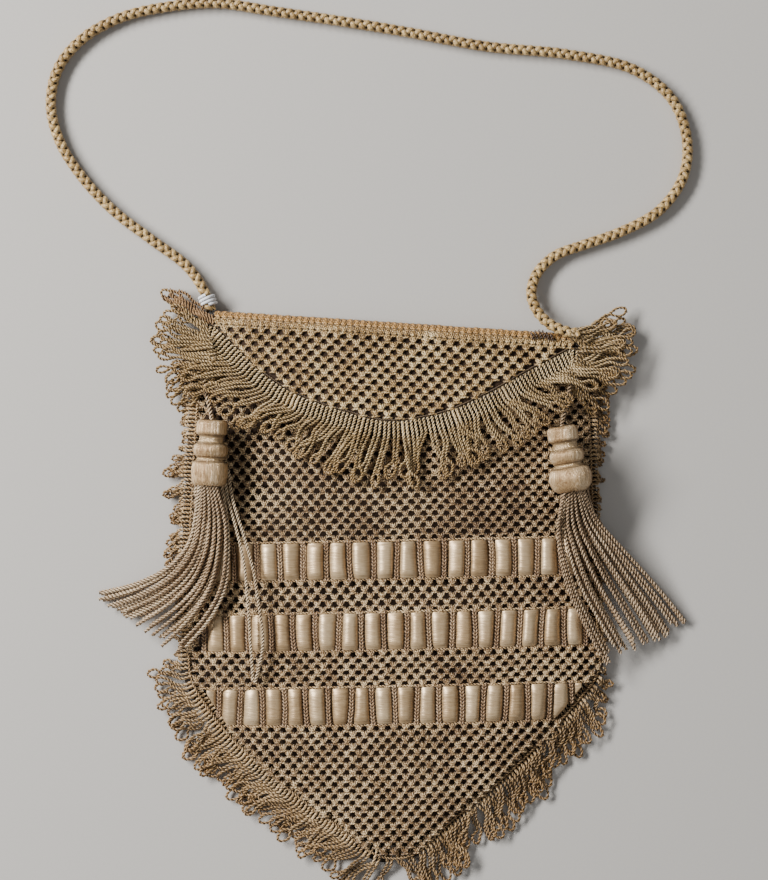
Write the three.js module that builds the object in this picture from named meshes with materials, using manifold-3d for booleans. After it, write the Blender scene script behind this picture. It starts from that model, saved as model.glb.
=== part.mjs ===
// A crocheted silk reticule, lying on its back with the mouth towards +Y.
// Units are millimetres, +Z is up. The origin is on the underside of the back, in its middle.
import * as THREE from 'three';
import { mergeVertices } from 'three/addons/utils/BufferGeometryUtils.js';
import Module from 'manifold-3d';

const wasm = await Module();
wasm.setup();

// The bag
const bodyWidth = 185; // widest part of the bag
const bodyLength = 233.5; // middle of the mouth to the point
const mouthAbove = 101.2; // middle of the mouth above the origin
const mouthDrop = 3; // front edge of the mouth below the back edge
const crochetThick = 1.8;
const swell = 8; // height that the front gains over its own edge
const swellPower = 3.5; // a larger power swells the front closer to its sides
const clearance = 0.3;

// Silk lining, two pieces sewn together round the edge
const liningThick = 1;
const liningInset = 7;
const liningEnd = 0.94; // share of the bag's length where the lining stops

// Ribbon rows, pulled through windows in the front
const ribbonWidth = 16.4;
const ribbonThick = 0.8;
const ribbonPuff = 1.5; // height of a puff over the crochet
const windowSlack = 0.5; // window taller than the ribbon, in all
const barWidth = 2.9;
const rimWidth = 4;

// Flap
const flapWidth = 165;
const flapDepth = 41.4; // chord of the flap's curved edge to its lowest point
const flapThick = 1.8;
const foldBulge = 5; // how far the fold stands out over the mouth

// Ribbed heading of the fringes
const flapHeadingWidth = 6.6;
const flapHeadingThick = 2;
const edgeHeadingThick = 1.8;
const edgeHeadingInside = 3; // part of the heading that is held between back and front
const edgeHeadingOutside = 3.5;

// Fringe locks, each one a bunch of cord loops
const flapLockWidth = 8;
const edgeLockWidth = 9.5;
const lockThick = 2.2;
const flapLoopLength = 21;
const edgeLoopLength = 20;
const flapLockCount = 21;
const leftLockCount = 20;
const rightLockCount = 19;

// Tassels
const headLength = 28.8;
const headRadius = 8.1;
const headLift = 0.5;
const hangerRadius = 1.2;
const hangerLength = 20;
const hangerSeat = 3; // part of the hanger that is held inside the head
const hangerOut = 5; // the hanger's upper end lies this far out from the head's middle
const skirtLength = 76;
const skirtLockWidth = 7.4;
const skirtLockThick = 3.4;
const skirtLockCount = 6;
const skirtLift = 2.2; // clears the ribbon puffs under the skirt
const skirtReach = 36; // from the bag's side to where the skirt touches the surface

// Handle cord
const cordDiameter = 5.4;
const cordSides = 8;
const cordSteps = 48;
const bindingLength = 5;
const bindingWall = 0.8;
const bindingWraps = 3;
const bindingStart = 2; // along the cord, from its left end

// Outline of the bag, from the mouth down to the point. drop is a share of bodyLength,
// left and right are shares of half of bodyWidth, tilt is the slope of that row of
// crochet, and rise is the share of swell that the middle of the row reaches.
const outline = [
  { drop: 0.00, left: 0.930, right: 0.934, tilt: -0.065, rise: 0.80 },
  { drop: 0.18, left: 0.965, right: 0.955, tilt: -0.025, rise: 0.92 },
  { drop: 0.31, left: 0.985, right: 0.965, tilt: 0.012, rise: 1.00 },
  { drop: 0.43, left: 1.000, right: 0.975, tilt: 0.020, rise: 1.00 },
  { drop: 0.56, left: 1.000, right: 0.990, tilt: 0.020, rise: 1.00 },
  { drop: 0.64, left: 0.995, right: 1.000, tilt: 0.020, rise: 0.97 },
  { drop: 0.67, left: 0.970, right: 0.975, tilt: 0.020, rise: 0.95 },
  { drop: 0.70, left: 0.925, right: 0.915, tilt: 0.020, rise: 0.92 },
  { drop: 0.76, left: 0.810, right: 0.780, tilt: 0.020, rise: 0.85 },
  { drop: 0.82, left: 0.655, right: 0.628, tilt: 0.020, rise: 0.74 },
  { drop: 0.88, left: 0.480, right: 0.455, tilt: 0.020, rise: 0.60 },
  { drop: 0.94, left: 0.280, right: 0.265, tilt: 0.020, rise: 0.42 },
  { drop: 1.00, left: 0.075, right: 0.090, tilt: 0.020, rise: 0.00 },
];

// Ribbon rows. drop is a share of bodyLength down to the middle of the row, span is the
// share of bodyWidth between the middles of the end windows, and shift is the share of
// bodyWidth that the row's middle lies right of the origin.
const ribbonRows = [
  { name: 'ribbon_upper', drop: 0.430, windows: 16, span: 0.843, shift: 0.007 },
  { name: 'ribbon_middle', drop: 0.565, windows: 17, span: 0.869, shift: 0.003 },
  { name: 'ribbon_lower', drop: 0.707, windows: 18, span: 0.905, shift: 0.002 },
];

// Curved edge of the flap. across is a share of flapWidth, depth is a share of flapDepth.
const flapEdge = [
  { across: 0.00, depth: 0.04 },
  { across: 0.08, depth: 0.33 },
  { across: 0.16, depth: 0.61 },
  { across: 0.24, depth: 0.78 },
  { across: 0.36, depth: 0.92 },
  { across: 0.48, depth: 1.00 },
  { across: 0.61, depth: 0.90 },
  { across: 0.74, depth: 0.66 },
  { across: 0.87, depth: 0.34 },
  { across: 1.00, depth: 0.04 },
];

// Lie of the fringe locks along each heading. along is a share of the heading, aim is the
// lock's direction in degrees from +X, and reach is a share of the loop length.
const flapFringeLie = [
  { along: 0.00, aim: 165, reach: 1.30 },
  { along: 0.08, aim: 182, reach: 1.35 },
  { along: 0.16, aim: 194, reach: 1.15 },
  { along: 0.28, aim: 214, reach: 0.90 },
  { along: 0.42, aim: 240, reach: 1.00 },
  { along: 0.52, aim: 255, reach: 1.00 },
  { along: 0.62, aim: 278, reach: 0.95 },
  { along: 0.74, aim: 306, reach: 0.90 },
  { along: 0.84, aim: 334, reach: 0.95 },
  { along: 0.93, aim: 354, reach: 1.20 },
  { along: 1.00, aim: 378, reach: 1.25 },
];
const leftFringeLie = [
  { along: 0.00, aim: 186, reach: 0.50 },
  { along: 0.30, aim: 196, reach: 0.45 },
  { along: 0.50, aim: 200, reach: 0.50 },
  { along: 0.58, aim: 195, reach: 0.85 },
  { along: 0.70, aim: 204, reach: 0.95 },
  { along: 0.85, aim: 214, reach: 1.00 },
  { along: 0.96, aim: 232, reach: 0.75 },
  { along: 1.00, aim: 258, reach: 0.40 },
];
const rightFringeLie = [
  { along: 0.00, aim: 354, reach: 0.50 },
  { along: 0.45, aim: 344, reach: 0.45 },
  { along: 0.56, aim: 315, reach: 0.65 },
  { along: 0.66, aim: 290, reach: 0.90 },
  { along: 0.85, aim: 288, reach: 0.95 },
  { along: 0.95, aim: 300, reach: 0.90 },
  { along: 1.00, aim: 275, reach: 0.45 },
];

// Outline of a tassel's head, from its top. along is a share of headLength, radius is a
// share of headRadius.
const headTiers = [
  { along: 0.00, radius: 0.62 },
  { along: 0.03, radius: 0.82 },
  { along: 0.22, radius: 0.84 },
  { along: 0.25, radius: 0.64 },
  { along: 0.35, radius: 0.66 },
  { along: 0.38, radius: 0.88 },
  { along: 0.46, radius: 0.95 },
  { along: 0.55, radius: 0.88 },
  { along: 0.58, radius: 0.70 },
  { along: 0.62, radius: 0.72 },
  { along: 0.66, radius: 0.96 },
  { along: 0.80, radius: 1.00 },
  { along: 0.96, radius: 0.94 },
  { along: 1.00, radius: 0.80 },
];

// Tassels. side is -1 on the left. The middle of the head's upper end lies out by a share
// of half of bodyWidth and down by a share of bodyLength, and lean is the head's slope in
// degrees away from the bag's middle. The skirt fans between its outer and inner strands,
// whose out and down are shares of skirtLength.
const tassels = [
  {
    name: 'left', side: -1, out: 0.869, drop: 0.164, lean: -3,
    strands: [
      { outerOut: 0.060, outerDown: 0.000, innerOut: -0.060, innerDown: 0.00 },
      { outerOut: 0.085, outerDown: 0.160, innerOut: -0.110, innerDown: 0.20 },
      { outerOut: 0.130, outerDown: 0.330, innerOut: -0.115, innerDown: 0.41 },
      { outerOut: 0.250, outerDown: 0.475, innerOut: -0.095, innerDown: 0.61 },
      { outerOut: 0.440, outerDown: 0.585, innerOut: -0.010, innerDown: 0.80 },
      { outerOut: 0.670, outerDown: 0.655, innerOut: 0.140, innerDown: 1.00 },
    ],
  },
  {
    name: 'right', side: 1, out: 0.798, drop: 0.176, lean: 10,
    strands: [
      { outerOut: 0.060, outerDown: 0.000, innerOut: -0.060, innerDown: 0.00 },
      { outerOut: 0.150, outerDown: 0.155, innerOut: -0.095, innerDown: 0.20 },
      { outerOut: 0.290, outerDown: 0.320, innerOut: -0.080, innerDown: 0.40 },
      { outerOut: 0.430, outerDown: 0.480, innerOut: -0.030, innerDown: 0.60 },
      { outerOut: 0.560, outerDown: 0.640, innerOut: 0.060, innerDown: 0.80 },
      { outerOut: 0.675, outerDown: 0.800, innerOut: 0.160, innerDown: 1.00 },
    ],
  },
];

// Route of the handle cord's middle, from the left corner of the fold round to the right.
const cordRoute = [
  [-82, 112.3, 4.7], [-85.5, 121.5, 4.2], [-93, 132, 2.9], [-109, 144, 2.7], [-126, 157, 2.7],
  [-140, 172, 2.7], [-150, 188, 2.7], [-154, 204, 2.7], [-151, 220, 2.7], [-141, 233, 2.7],
  [-124, 243, 2.7], [-101, 248.5, 2.7], [-79, 250, 2.7], [-55, 246.5, 2.7], [-18, 241, 2.7],
  [6, 237, 2.7], [42, 230.5, 2.7], [78, 227, 2.7], [108, 220, 2.7], [125, 206.5, 2.7],
  [131.5, 188, 2.7], [129.5, 171.5, 2.7], [119, 157, 2.7], [102, 147.5, 2.7], [85, 141.5, 2.7],
  [72, 136.5, 2.8], [64, 128.5, 3.1], [61.5, 119, 4.3], [64.5, 110.8, 6.6], [69.8, 105.4, 9.2],
  [75.5, 102.6, 11.2], [82, 101, 11.8],
];

// Heights of the layers at the bag's edge
const liningBackUnder = crochetThick + clearance;
const liningBackTop = liningBackUnder + liningThick;
const edgeHeadingUnder = crochetThick + clearance;
const frontEdgeUnder = edgeHeadingUnder + edgeHeadingThick + clearance;
const frontEdgeTop = frontEdgeUnder + crochetThick;
const ribbonSpace = ribbonThick + 2.5 * clearance;

// Materials
function fabricMaterial(color, roughness, metalness = 0) {
  return new THREE.MeshStandardMaterial({ color, roughness, metalness });
}
const crochetMaterial = fabricMaterial(0x8f744c, 0.75);
const flapMaterial = fabricMaterial(0x9b7a49, 0.75);
const liningMaterial = fabricMaterial(0x1d140e, 0.6);
const ribbonMaterial = fabricMaterial(0xc3ab85, 0.32);
const fringeMaterial = fabricMaterial(0x8d7349, 0.7);
const flossMaterial = fabricMaterial(0xd6b688, 0.4);
const skirtMaterial = fabricMaterial(0x937657, 0.6);
const cordMaterial = fabricMaterial(0xbb9257, 0.55);
const threadMaterial = fabricMaterial(0xe6e4df, 0.6);

// Straight-line value between the rows of a table
function between(table, key, value, column) {
  const last = table.length - 1;
  let row = 0;
  while (row < last - 1 && table[row + 1][key] < value) {
    row += 1;
  }
  const low = table[row];
  const high = table[row + 1];
  const share = THREE.MathUtils.clamp((value - low[key]) / (high[key] - low[key]), 0, 1);
  return THREE.MathUtils.lerp(low[column], high[column], share);
}

// Half of the bag's width on one side, at a share of its length
function halfWidth(drop, side) {
  return between(outline, 'drop', drop, side < 0 ? 'left' : 'right') * bodyWidth / 2;
}

// A place on the bag: across runs from -1 to 1, drop from 0 at the mouth to 1
function bagPoint(across, drop, z) {
  const x = across * halfWidth(drop, across);
  const y = mouthAbove - drop * bodyLength + between(outline, 'drop', drop, 'tilt') * x;
  return new THREE.Vector3(x, y, z);
}

// The share of the bag's length at a place
function dropAt(x, y) {
  let drop = (mouthAbove - y) / bodyLength;
  for (let pass = 0; pass < 4; pass += 1) {
    drop = (mouthAbove + between(outline, 'drop', drop, 'tilt') * x - y) / bodyLength;
  }
  return THREE.MathUtils.clamp(drop, 0, 1);
}

// Underside of the front, by share and by place. The swell is straight between the
// columns of the front's own grid, so that what lies on it or under it keeps clear.
const panelColumns = 10;
function domeShare(across) {
  const column = Math.abs(across) * panelColumns / 2;
  const low = Math.floor(Math.min(column, panelColumns / 2 - 1));
  const fall = (index) => (index * 2 / panelColumns) ** swellPower;
  return 1 - THREE.MathUtils.lerp(fall(low), fall(low + 1), column - low);
}
function frontUnder(across, drop) {
  return frontEdgeUnder + swell * between(outline, 'drop', drop, 'rise') * domeShare(across);
}
function frontUnderAt(x, y) {
  const drop = dropAt(x, y);
  return frontUnder(x / halfWidth(drop, x), drop);
}
function frontTopAt(x, y) {
  return frontUnderAt(x, y) + crochetThick;
}

// Mouth line of the back and outer line of the fold
function mouthLine(x) {
  return mouthAbove + outline[0].tilt * x;
}

// Triangles of one quad
function quad(a, b, c, d) {
  return [a, b, c, a, c, d];
}

// Closed sheet between two grids of points. Rows run down, columns run to the right.
function sheet(rows, columns, lower, upper) {
  const points = [];
  const faces = [];
  for (const layer of [lower, upper]) {
    for (let row = 0; row <= rows; row += 1) {
      for (let column = 0; column <= columns; column += 1) {
        points.push(...layer(row, column).toArray());
      }
    }
  }
  const under = (row, column) => row * (columns + 1) + column;
  const over = (row, column) => (rows + 1) * (columns + 1) + under(row, column);
  for (let row = 0; row < rows; row += 1) {
    for (let column = 0; column < columns; column += 1) {
      const corners = [[row, column], [row + 1, column], [row + 1, column + 1], [row, column + 1]];
      faces.push(...quad(...corners.map((corner) => over(...corner))));
      faces.push(...quad(...corners.map((corner) => under(...corner)).reverse()));
    }
  }
  const wall = (from, to) => {
    faces.push(...quad(under(...from), under(...to), over(...to), over(...from)));
  };
  for (let column = 0; column < columns; column += 1) {
    wall([0, column + 1], [0, column]);
    wall([rows, column], [rows, column + 1]);
  }
  for (let row = 0; row < rows; row += 1) {
    wall([row, 0], [row + 1, 0]);
    wall([row + 1, columns], [row, columns]);
  }
  const geometry = new THREE.BufferGeometry();
  geometry.setAttribute('position', new THREE.Float32BufferAttribute(points, 3));
  geometry.setIndex(faces);
  return geometry;
}

// Solids for joining and cutting
function toSolid(geometry) {
  const bare = geometry.clone();
  bare.deleteAttribute('normal');
  bare.deleteAttribute('uv');
  const merged = mergeVertices(bare, 1e-4);
  return new wasm.Manifold(new wasm.Mesh({
    numProp: 3,
    vertProperties: new Float32Array(merged.attributes.position.array),
    triVerts: new Uint32Array(merged.index.array),
  }));
}
function toGeometry(solid) {
  const mesh = solid.getMesh();
  const geometry = new THREE.BufferGeometry();
  geometry.setAttribute('position', new THREE.BufferAttribute(new Float32Array(mesh.vertProperties), 3));
  geometry.setIndex(new THREE.BufferAttribute(new Uint32Array(mesh.triVerts), 1));
  return geometry;
}
function joined(geometries) {
  const solids = geometries.map(toSolid);
  return toGeometry(solids.reduce((sum, solid) => sum.add(solid)));
}

// Shares of the bag's length for the rows of a sheet, between two ends
function dropRows(start, end) {
  const inner = outline.map((row) => row.drop).filter((drop) => drop > start + 0.01 && drop < end - 0.01);
  return [start, ...inner, end];
}

// A block with the bag's outline, drawn in by inset
function outlineBlock(inset) {
  const shape = new THREE.Shape();
  const drops = outline.map((row) => row.drop);
  const edge = (drop, side) => {
    const point = bagPoint(side, drop, 0);
    const drawn = Math.max(Math.abs(point.x) - inset, 0.1);
    return new THREE.Vector2(side * drawn, point.y);
  };
  const left = drops.map((drop) => edge(drop, -1));
  const right = drops.map((drop) => edge(drop, 1)).reverse();
  shape.setFromPoints([...left, ...right]);
  const height = frontEdgeTop + swell + 4 * ribbonPuff;
  return new THREE.ExtrudeGeometry(shape, { depth: height, bevelEnabled: false });
}

// Crochet back, flat on the surface
const backColumns = 4;
function backPanel() {
  const drops = dropRows(0, 1);
  const point = (z) => (row, column) => bagPoint(column / backColumns * 2 - 1, drops[row], z);
  return sheet(drops.length - 1, backColumns, point(0), point(crochetThick));
}

// Middles of the windows in a ribbon row
function windowPitch(row) {
  return row.span * bodyWidth / (row.windows - 1);
}
function windowCentre(row, index) {
  const x = bodyWidth * row.shift + (index - (row.windows - 1) / 2) * windowPitch(row);
  return rowPoint(row, x, 0);
}
function rowPoint(row, x, offset) {
  const tilt = between(outline, 'drop', row.drop, 'tilt');
  const y = mouthAbove - row.drop * bodyLength + tilt * x;
  return new THREE.Vector2(x, y + offset);
}

// Crochet front with its ribbon windows
function frontPanel() {
  const drops = dropRows(mouthDrop / bodyLength, 1);
  const point = (lift) => (row, column) => {
    const across = column / panelColumns * 2 - 1;
    return bagPoint(across, drops[row], frontUnder(across, drops[row]) + lift);
  };
  let front = toSolid(sheet(drops.length - 1, panelColumns, point(0), point(crochetThick)));
  const limit = toSolid(outlineBlock(rimWidth));
  const tall = frontEdgeTop + swell + ribbonPuff;
  for (const row of ribbonRows) {
    const width = windowPitch(row) - barWidth;
    for (let index = 0; index < row.windows; index += 1) {
      const cutter = new THREE.BoxGeometry(width, ribbonWidth + windowSlack, tall);
      const centre = windowCentre(row, index);
      cutter.translate(centre.x, centre.y, tall / 2 + crochetThick);
      front = front.subtract(toSolid(cutter).intersect(limit));
    }
  }
  return toGeometry(front);
}

// One ribbon, running under the bars and puffed up through the windows
function ribbon(row) {
  const stops = [];
  const halfWindow = (windowPitch(row) - barWidth) / 2;
  const low = -clearance;
  const high = crochetThick + ribbonPuff;
  const foot = halfWindow - clearance;
  const shoulder = crochetThick + ribbonPuff * 0.4;
  const profile = [
    { out: -foot, top: low, shift: ribbonThick },
    { out: -foot, top: shoulder, shift: ribbonThick },
    { out: 0, top: high, shift: 0 },
    { out: foot, top: shoulder, shift: -ribbonThick },
    { out: foot, top: low, shift: -ribbonThick },
  ];
  const addStop = (x, top, shift) => stops.push({ x, top, bottomX: x + shift, bottom: top - ribbonThick });
  addStop(-bodyWidth / 2, low, 0);
  for (let index = 0; index < row.windows; index += 1) {
    const middle = windowCentre(row, index).x;
    for (const stop of profile) {
      addStop(middle + stop.out, stop.top, stop.shift);
    }
  }
  addStop(bodyWidth / 2, low, 0);
  const point = (layer) => (side, stop) => {
    const { x, top, bottomX, bottom } = stops[stop];
    const placeX = layer === 'top' ? x : bottomX;
    const lift = layer === 'top' ? top : bottom;
    const place = rowPoint(row, placeX, (0.5 - side) * ribbonWidth);
    return new THREE.Vector3(place.x, place.y, frontUnderAt(place.x, place.y) + lift);
  };
  const strip = toSolid(sheet(1, stops.length - 1, point('bottom'), point('top')));
  return toGeometry(strip.intersect(toSolid(outlineBlock(rimWidth + clearance))));
}

// Lining
const liningColumns = 8;
function liningPoint(drops, heightAt) {
  return (row, column) => {
    const across = column / liningColumns * 2 - 1;
    const half = halfWidth(drops[row], across) - liningInset;
    const inner = across * half / (half + liningInset);
    const point = bagPoint(inner, drops[row], 0);
    point.z = heightAt(inner, drops[row]);
    return point;
  };
}
function liningBack() {
  const drops = dropRows(mouthDrop / bodyLength, liningEnd);
  const lower = liningPoint(drops, () => liningBackUnder);
  const upper = liningPoint(drops, () => liningBackTop);
  return sheet(drops.length - 1, liningColumns, lower, upper);
}
function liningFront() {
  const drops = dropRows(2 * mouthDrop / bodyLength, liningEnd);
  const top = (across, drop) => frontUnder(across, drop) - ribbonSpace;
  const lower = liningPoint(drops, (across, drop) => top(across, drop) - liningThick);
  const upper = liningPoint(drops, top);
  return sheet(drops.length - 1, liningColumns, lower, upper);
}

// Flap. x at a share of its width, and the y of its curved edge there
function flapX(across) {
  return (across - 0.5) * flapWidth;
}
function flapEdgeY(across) {
  const depth = between(flapEdge, 'across', across, 'depth') * flapDepth;
  return mouthLine(flapX(across)) + foldBulge / 2 - depth;
}

// Flap: rises from the back's edge, folds over the mouth and lies on the front
const foldSteps = 4;
const flapSteps = 3;
const flapColumns = 18;
function flap() {
  const section = (step, across, outer) => {
    const x = flapX(across);
    const hem = mouthLine(x) + clearance;
    const shell = outer ? flapThick : 0;
    const rest = mouthLine(x) - mouthDrop - clearance;
    const topHeight = frontTopAt(x, rest) + clearance;
    if (step <= foldSteps) {
      const angle = step / foldSteps * Math.PI;
      const height = (topHeight + shell) / 2;
      const bulge = foldBulge - flapThick + shell;
      const foot = outer ? 0 : flapThick * (1 + Math.cos(angle)) / 2;
      return new THREE.Vector3(x, hem + Math.sin(angle) * bulge, height * (1 - Math.cos(angle)) + foot);
    }
    const share = (step - foldSteps) / flapSteps;
    const y = THREE.MathUtils.lerp(hem, Math.min(flapEdgeY(across), hem - mouthDrop / 2), share);
    return new THREE.Vector3(x, y, frontTopAt(x, y) + clearance + shell);
  };
  const point = (outer) => (row, column) => section(row, column / flapColumns, outer);
  return sheet(foldSteps + flapSteps, flapColumns, point(false), point(true));
}

// A flat lock of cords along a route, with a four-sided section
function lock(route, widths, thick) {
  const section = [[-0.5, -0.5], [0.5, -0.5], [0.36, 0.5], [-0.36, 0.5]];
  const points = [];
  const faces = [];
  const sides = section.length;
  route.forEach((middle, index) => {
    const ahead = route[Math.min(index + 1, route.length - 1)];
    const behind = route[Math.max(index - 1, 0)];
    const across = new THREE.Vector3(ahead.y - behind.y, behind.x - ahead.x, 0).normalize();
    for (const [out, up] of section) {
      const point = middle.clone().addScaledVector(across, out * widths[index]);
      point.z += up * thick;
      points.push(...point.toArray());
    }
  });
  for (let ring = 0; ring < route.length - 1; ring += 1) {
    for (let side = 0; side < sides; side += 1) {
      const next = (side + 1) % sides;
      const here = ring * sides;
      const there = here + sides;
      faces.push(...quad(here + side, there + side, there + next, here + next));
    }
  }
  const end = (route.length - 1) * sides;
  for (let side = 1; side < sides - 1; side += 1) {
    faces.push(0, side, side + 1);
    faces.push(end, end + side + 1, end + side);
  }
  const geometry = new THREE.BufferGeometry();
  geometry.setAttribute('position', new THREE.Float32BufferAttribute(points, 3));
  geometry.setIndex(faces);
  return geometry;
}

// Places at even distances along a line of points, each with its outward side
function spaced(line, count) {
  const curve = new THREE.CatmullRomCurve3(line, false, 'centripetal');
  const places = [];
  for (let index = 0; index < count; index += 1) {
    const share = (index + 0.5) / count;
    places.push({ share, point: curve.getPointAt(share) });
  }
  return places;
}

// Fringe: locks from a heading, each led by the table of its lie
function fringeLocks(line, count, lie, length, width, heightAt) {
  const steps = [0, 0.35, 1];
  const widths = [0.8, 1, 0.75].map((share) => share * width);
  return spaced(line, count).map(({ share, point }) => {
    const aim = THREE.MathUtils.degToRad(between(lie, 'along', share, 'aim'));
    const reach = between(lie, 'along', share, 'reach') * length;
    const route = steps.map((step) => {
      const x = point.x + Math.cos(aim) * reach * step;
      const y = point.y + Math.sin(aim) * reach * step;
      return new THREE.Vector3(x, y, heightAt(x, y, step, point));
    });
    return lock(route, widths, lockThick);
  });
}

// Points of a band beside a line, off to its left by distance
function beside(line, distance) {
  return line.map((point, index) => {
    const ahead = line[Math.min(index + 1, line.length - 1)];
    const behind = line[Math.max(index - 1, 0)];
    const normal = new THREE.Vector3(behind.y - ahead.y, ahead.x - behind.x, 0).normalize();
    return point.clone().addScaledVector(normal, distance);
  });
}

// Flap fringe, along the curved edge of the flap
function flapFringe() {
  const steps = flapColumns;
  const edge = [];
  for (let step = 0; step <= steps; step += 1) {
    const across = step / steps;
    const x = flapX(across);
    edge.push(new THREE.Vector3(x, Math.min(flapEdgeY(across), mouthLine(x) - mouthDrop / 2), 0));
  }
  const inner = beside(edge, -clearance);
  const outer = beside(edge, -clearance - flapHeadingWidth);
  const point = (lift) => (row, column) => {
    const place = (row === 0 ? inner : outer)[column].clone();
    place.z = frontTopAt(place.x, place.y) + clearance + lift;
    return place;
  };
  const heading = sheet(1, steps, point(0), point(flapHeadingThick));
  const start = beside(edge, -flapHeadingWidth);
  const heightAt = (x, y, step, from) => {
    const ground = Math.max(frontTopAt(x, y), frontEdgeTop);
    const overHanger = THREE.MathUtils.smoothstep(Math.abs(from.x) / flapWidth, 0.25, 0.38);
    const lift = step === 0 ? 0 : THREE.MathUtils.lerp(0.4, hangerRadius * 2 + 4 * clearance, overHanger);
    return ground + clearance + lift + lockThick / 2;
  };
  const locks = fringeLocks(start, flapLockCount, flapFringeLie, flapLoopLength, flapLockWidth, heightAt);
  return joined([heading, ...locks]);
}

// Outline of one side, from the mouth to the middle of the point
function sideLine(side) {
  const line = outline.map((row) => bagPoint(side, row.drop, 0));
  line[0] = bagPoint(side, mouthDrop * 2 / bodyLength, 0);
  line.push(bagPoint(side * 0.1, 1, 0));
  return line;
}

// Edge fringe of one side, its heading held between back and front
function edgeFringe(side, count, lie) {
  const line = sideLine(side);
  const inner = beside(line, -side * edgeHeadingInside);
  const outer = beside(line, side * edgeHeadingOutside);
  const order = side < 0 ? [outer, inner] : [inner, outer];
  const point = (z) => (row, column) => {
    const place = order[column][row].clone();
    place.z = z;
    return place;
  };
  const headingTop = edgeHeadingUnder + edgeHeadingThick;
  const heading = sheet(line.length - 1, 1, point(edgeHeadingUnder), point(headingTop));
  const start = beside(line, side * (edgeHeadingOutside - 1));
  const low = lockThick / 2;
  const high = edgeHeadingUnder + edgeHeadingThick / 2;
  const heightAt = (x, y, step) => THREE.MathUtils.lerp(high, low, Math.min(1, step * 2.5));
  const locks = fringeLocks(start, count, lie, edgeLoopLength, edgeLockWidth, heightAt);
  return joined([heading, ...locks]);
}

// Direction of a tassel's head and the two ends of its middle line
function headAxis(tassel) {
  const lean = THREE.MathUtils.degToRad(tassel.lean);
  return new THREE.Vector3(Math.sin(lean), -Math.cos(lean), 0);
}
function headEnds(tassel) {
  const axis = headAxis(tassel);
  const top = new THREE.Vector3(
    tassel.side * tassel.out * bodyWidth / 2,
    mouthAbove - tassel.drop * bodyLength,
    0,
  );
  const bottom = top.clone().addScaledVector(axis, headLength);
  const middle = top.clone().lerp(bottom, 0.7);
  const height = frontTopAt(middle.x, middle.y) + clearance + headLift + headRadius;
  top.z = height;
  bottom.z = height;
  return { axis, top, bottom };
}

// Turned shape laid along a direction
function lathed(profile, sides, from, axis) {
  const geometry = new THREE.LatheGeometry(profile, sides);
  geometry.applyQuaternion(new THREE.Quaternion().setFromUnitVectors(new THREE.Vector3(0, 1, 0), axis));
  geometry.translate(from.x, from.y, from.z);
  return geometry;
}

// Tassel head of three floss-covered tiers, with the short cord that it hangs by
function tasselHead(tassel) {
  const { axis, top } = headEnds(tassel);
  const profile = [new THREE.Vector2(0, 0)];
  for (const tier of headTiers) {
    profile.push(new THREE.Vector2(tier.radius * headRadius, tier.along * headLength));
  }
  profile.push(new THREE.Vector2(0, headLength));
  const head = lathed(profile, 10, top, axis);
  const route = [0, 0.25, 0.6, 1].map((share) => {
    const x = top.x + tassel.side * hangerOut * share;
    const y = top.y - hangerSeat + (hangerLength + hangerSeat) * share;
    const low = frontTopAt(x, y) + clearance + hangerRadius;
    return new THREE.Vector3(x, y, share < 0.2 ? top.z - headRadius / 2 : low);
  });
  const widths = route.map(() => hangerRadius * 2);
  return joined([head, lock(route, widths, hangerRadius * 2)]);
}

// Height of the skirt's underside: over the bag, then down to the surface
function skirtUnder(x, y) {
  const beyond = Math.abs(x) - halfWidth(dropAt(x, y), x);
  if (beyond <= 0) {
    return frontTopAt(x, y) + skirtLift;
  }
  return Math.max(0, (frontEdgeTop + skirtLift) * (1 - beyond / skirtReach));
}

// Tassel skirt: locks fanned between the outer and inner strand, from a short plug
const plugLength = 3;
function tasselSkirt(tassel) {
  const { axis, bottom } = headEnds(tassel);
  const from = bottom.clone().addScaledVector(axis, clearance);
  const plugRadius = headRadius * 0.78;
  const plug = lathed([
    new THREE.Vector2(0, 0),
    new THREE.Vector2(plugRadius, 0),
    new THREE.Vector2(plugRadius, plugLength),
    new THREE.Vector2(0, plugLength),
  ], 12, from, axis);
  const widths = [0.7, 0.8, 0.9, 1, 1, 0.8].map((share) => share * skirtLockWidth);
  const locks = [];
  for (let index = 0; index < skirtLockCount; index += 1) {
    const share = index / (skirtLockCount - 1);
    const route = tassel.strands.map((strand, step) => {
      const out = THREE.MathUtils.lerp(strand.outerOut, strand.innerOut, share) * skirtLength;
      const down = THREE.MathUtils.lerp(strand.outerDown, strand.innerDown, share) * skirtLength;
      const x = from.x + tassel.side * out;
      const y = from.y - down - plugLength / 2;
      const low = skirtUnder(x, y) + skirtLockThick / 2;
      return new THREE.Vector3(x, y, step === 0 ? Math.max(low, from.z - headRadius / 3) : low);
    });
    locks.push(lock(route, widths, skirtLockThick));
  }
  return joined([plug, ...locks]);
}

// Handle cord
function cordCurve() {
  return new THREE.CatmullRomCurve3(cordRoute.map((place) => new THREE.Vector3(...place)));
}
function handleCord() {
  const shape = new THREE.Shape();
  const points = [];
  for (let side = 0; side < cordSides; side += 1) {
    const angle = side / cordSides * 2 * Math.PI;
    points.push(new THREE.Vector2(Math.cos(angle), Math.sin(angle)).multiplyScalar(cordDiameter / 2));
  }
  shape.setFromPoints(points);
  return new THREE.ExtrudeGeometry(shape, { steps: cordSteps, extrudePath: cordCurve() });
}

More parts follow.
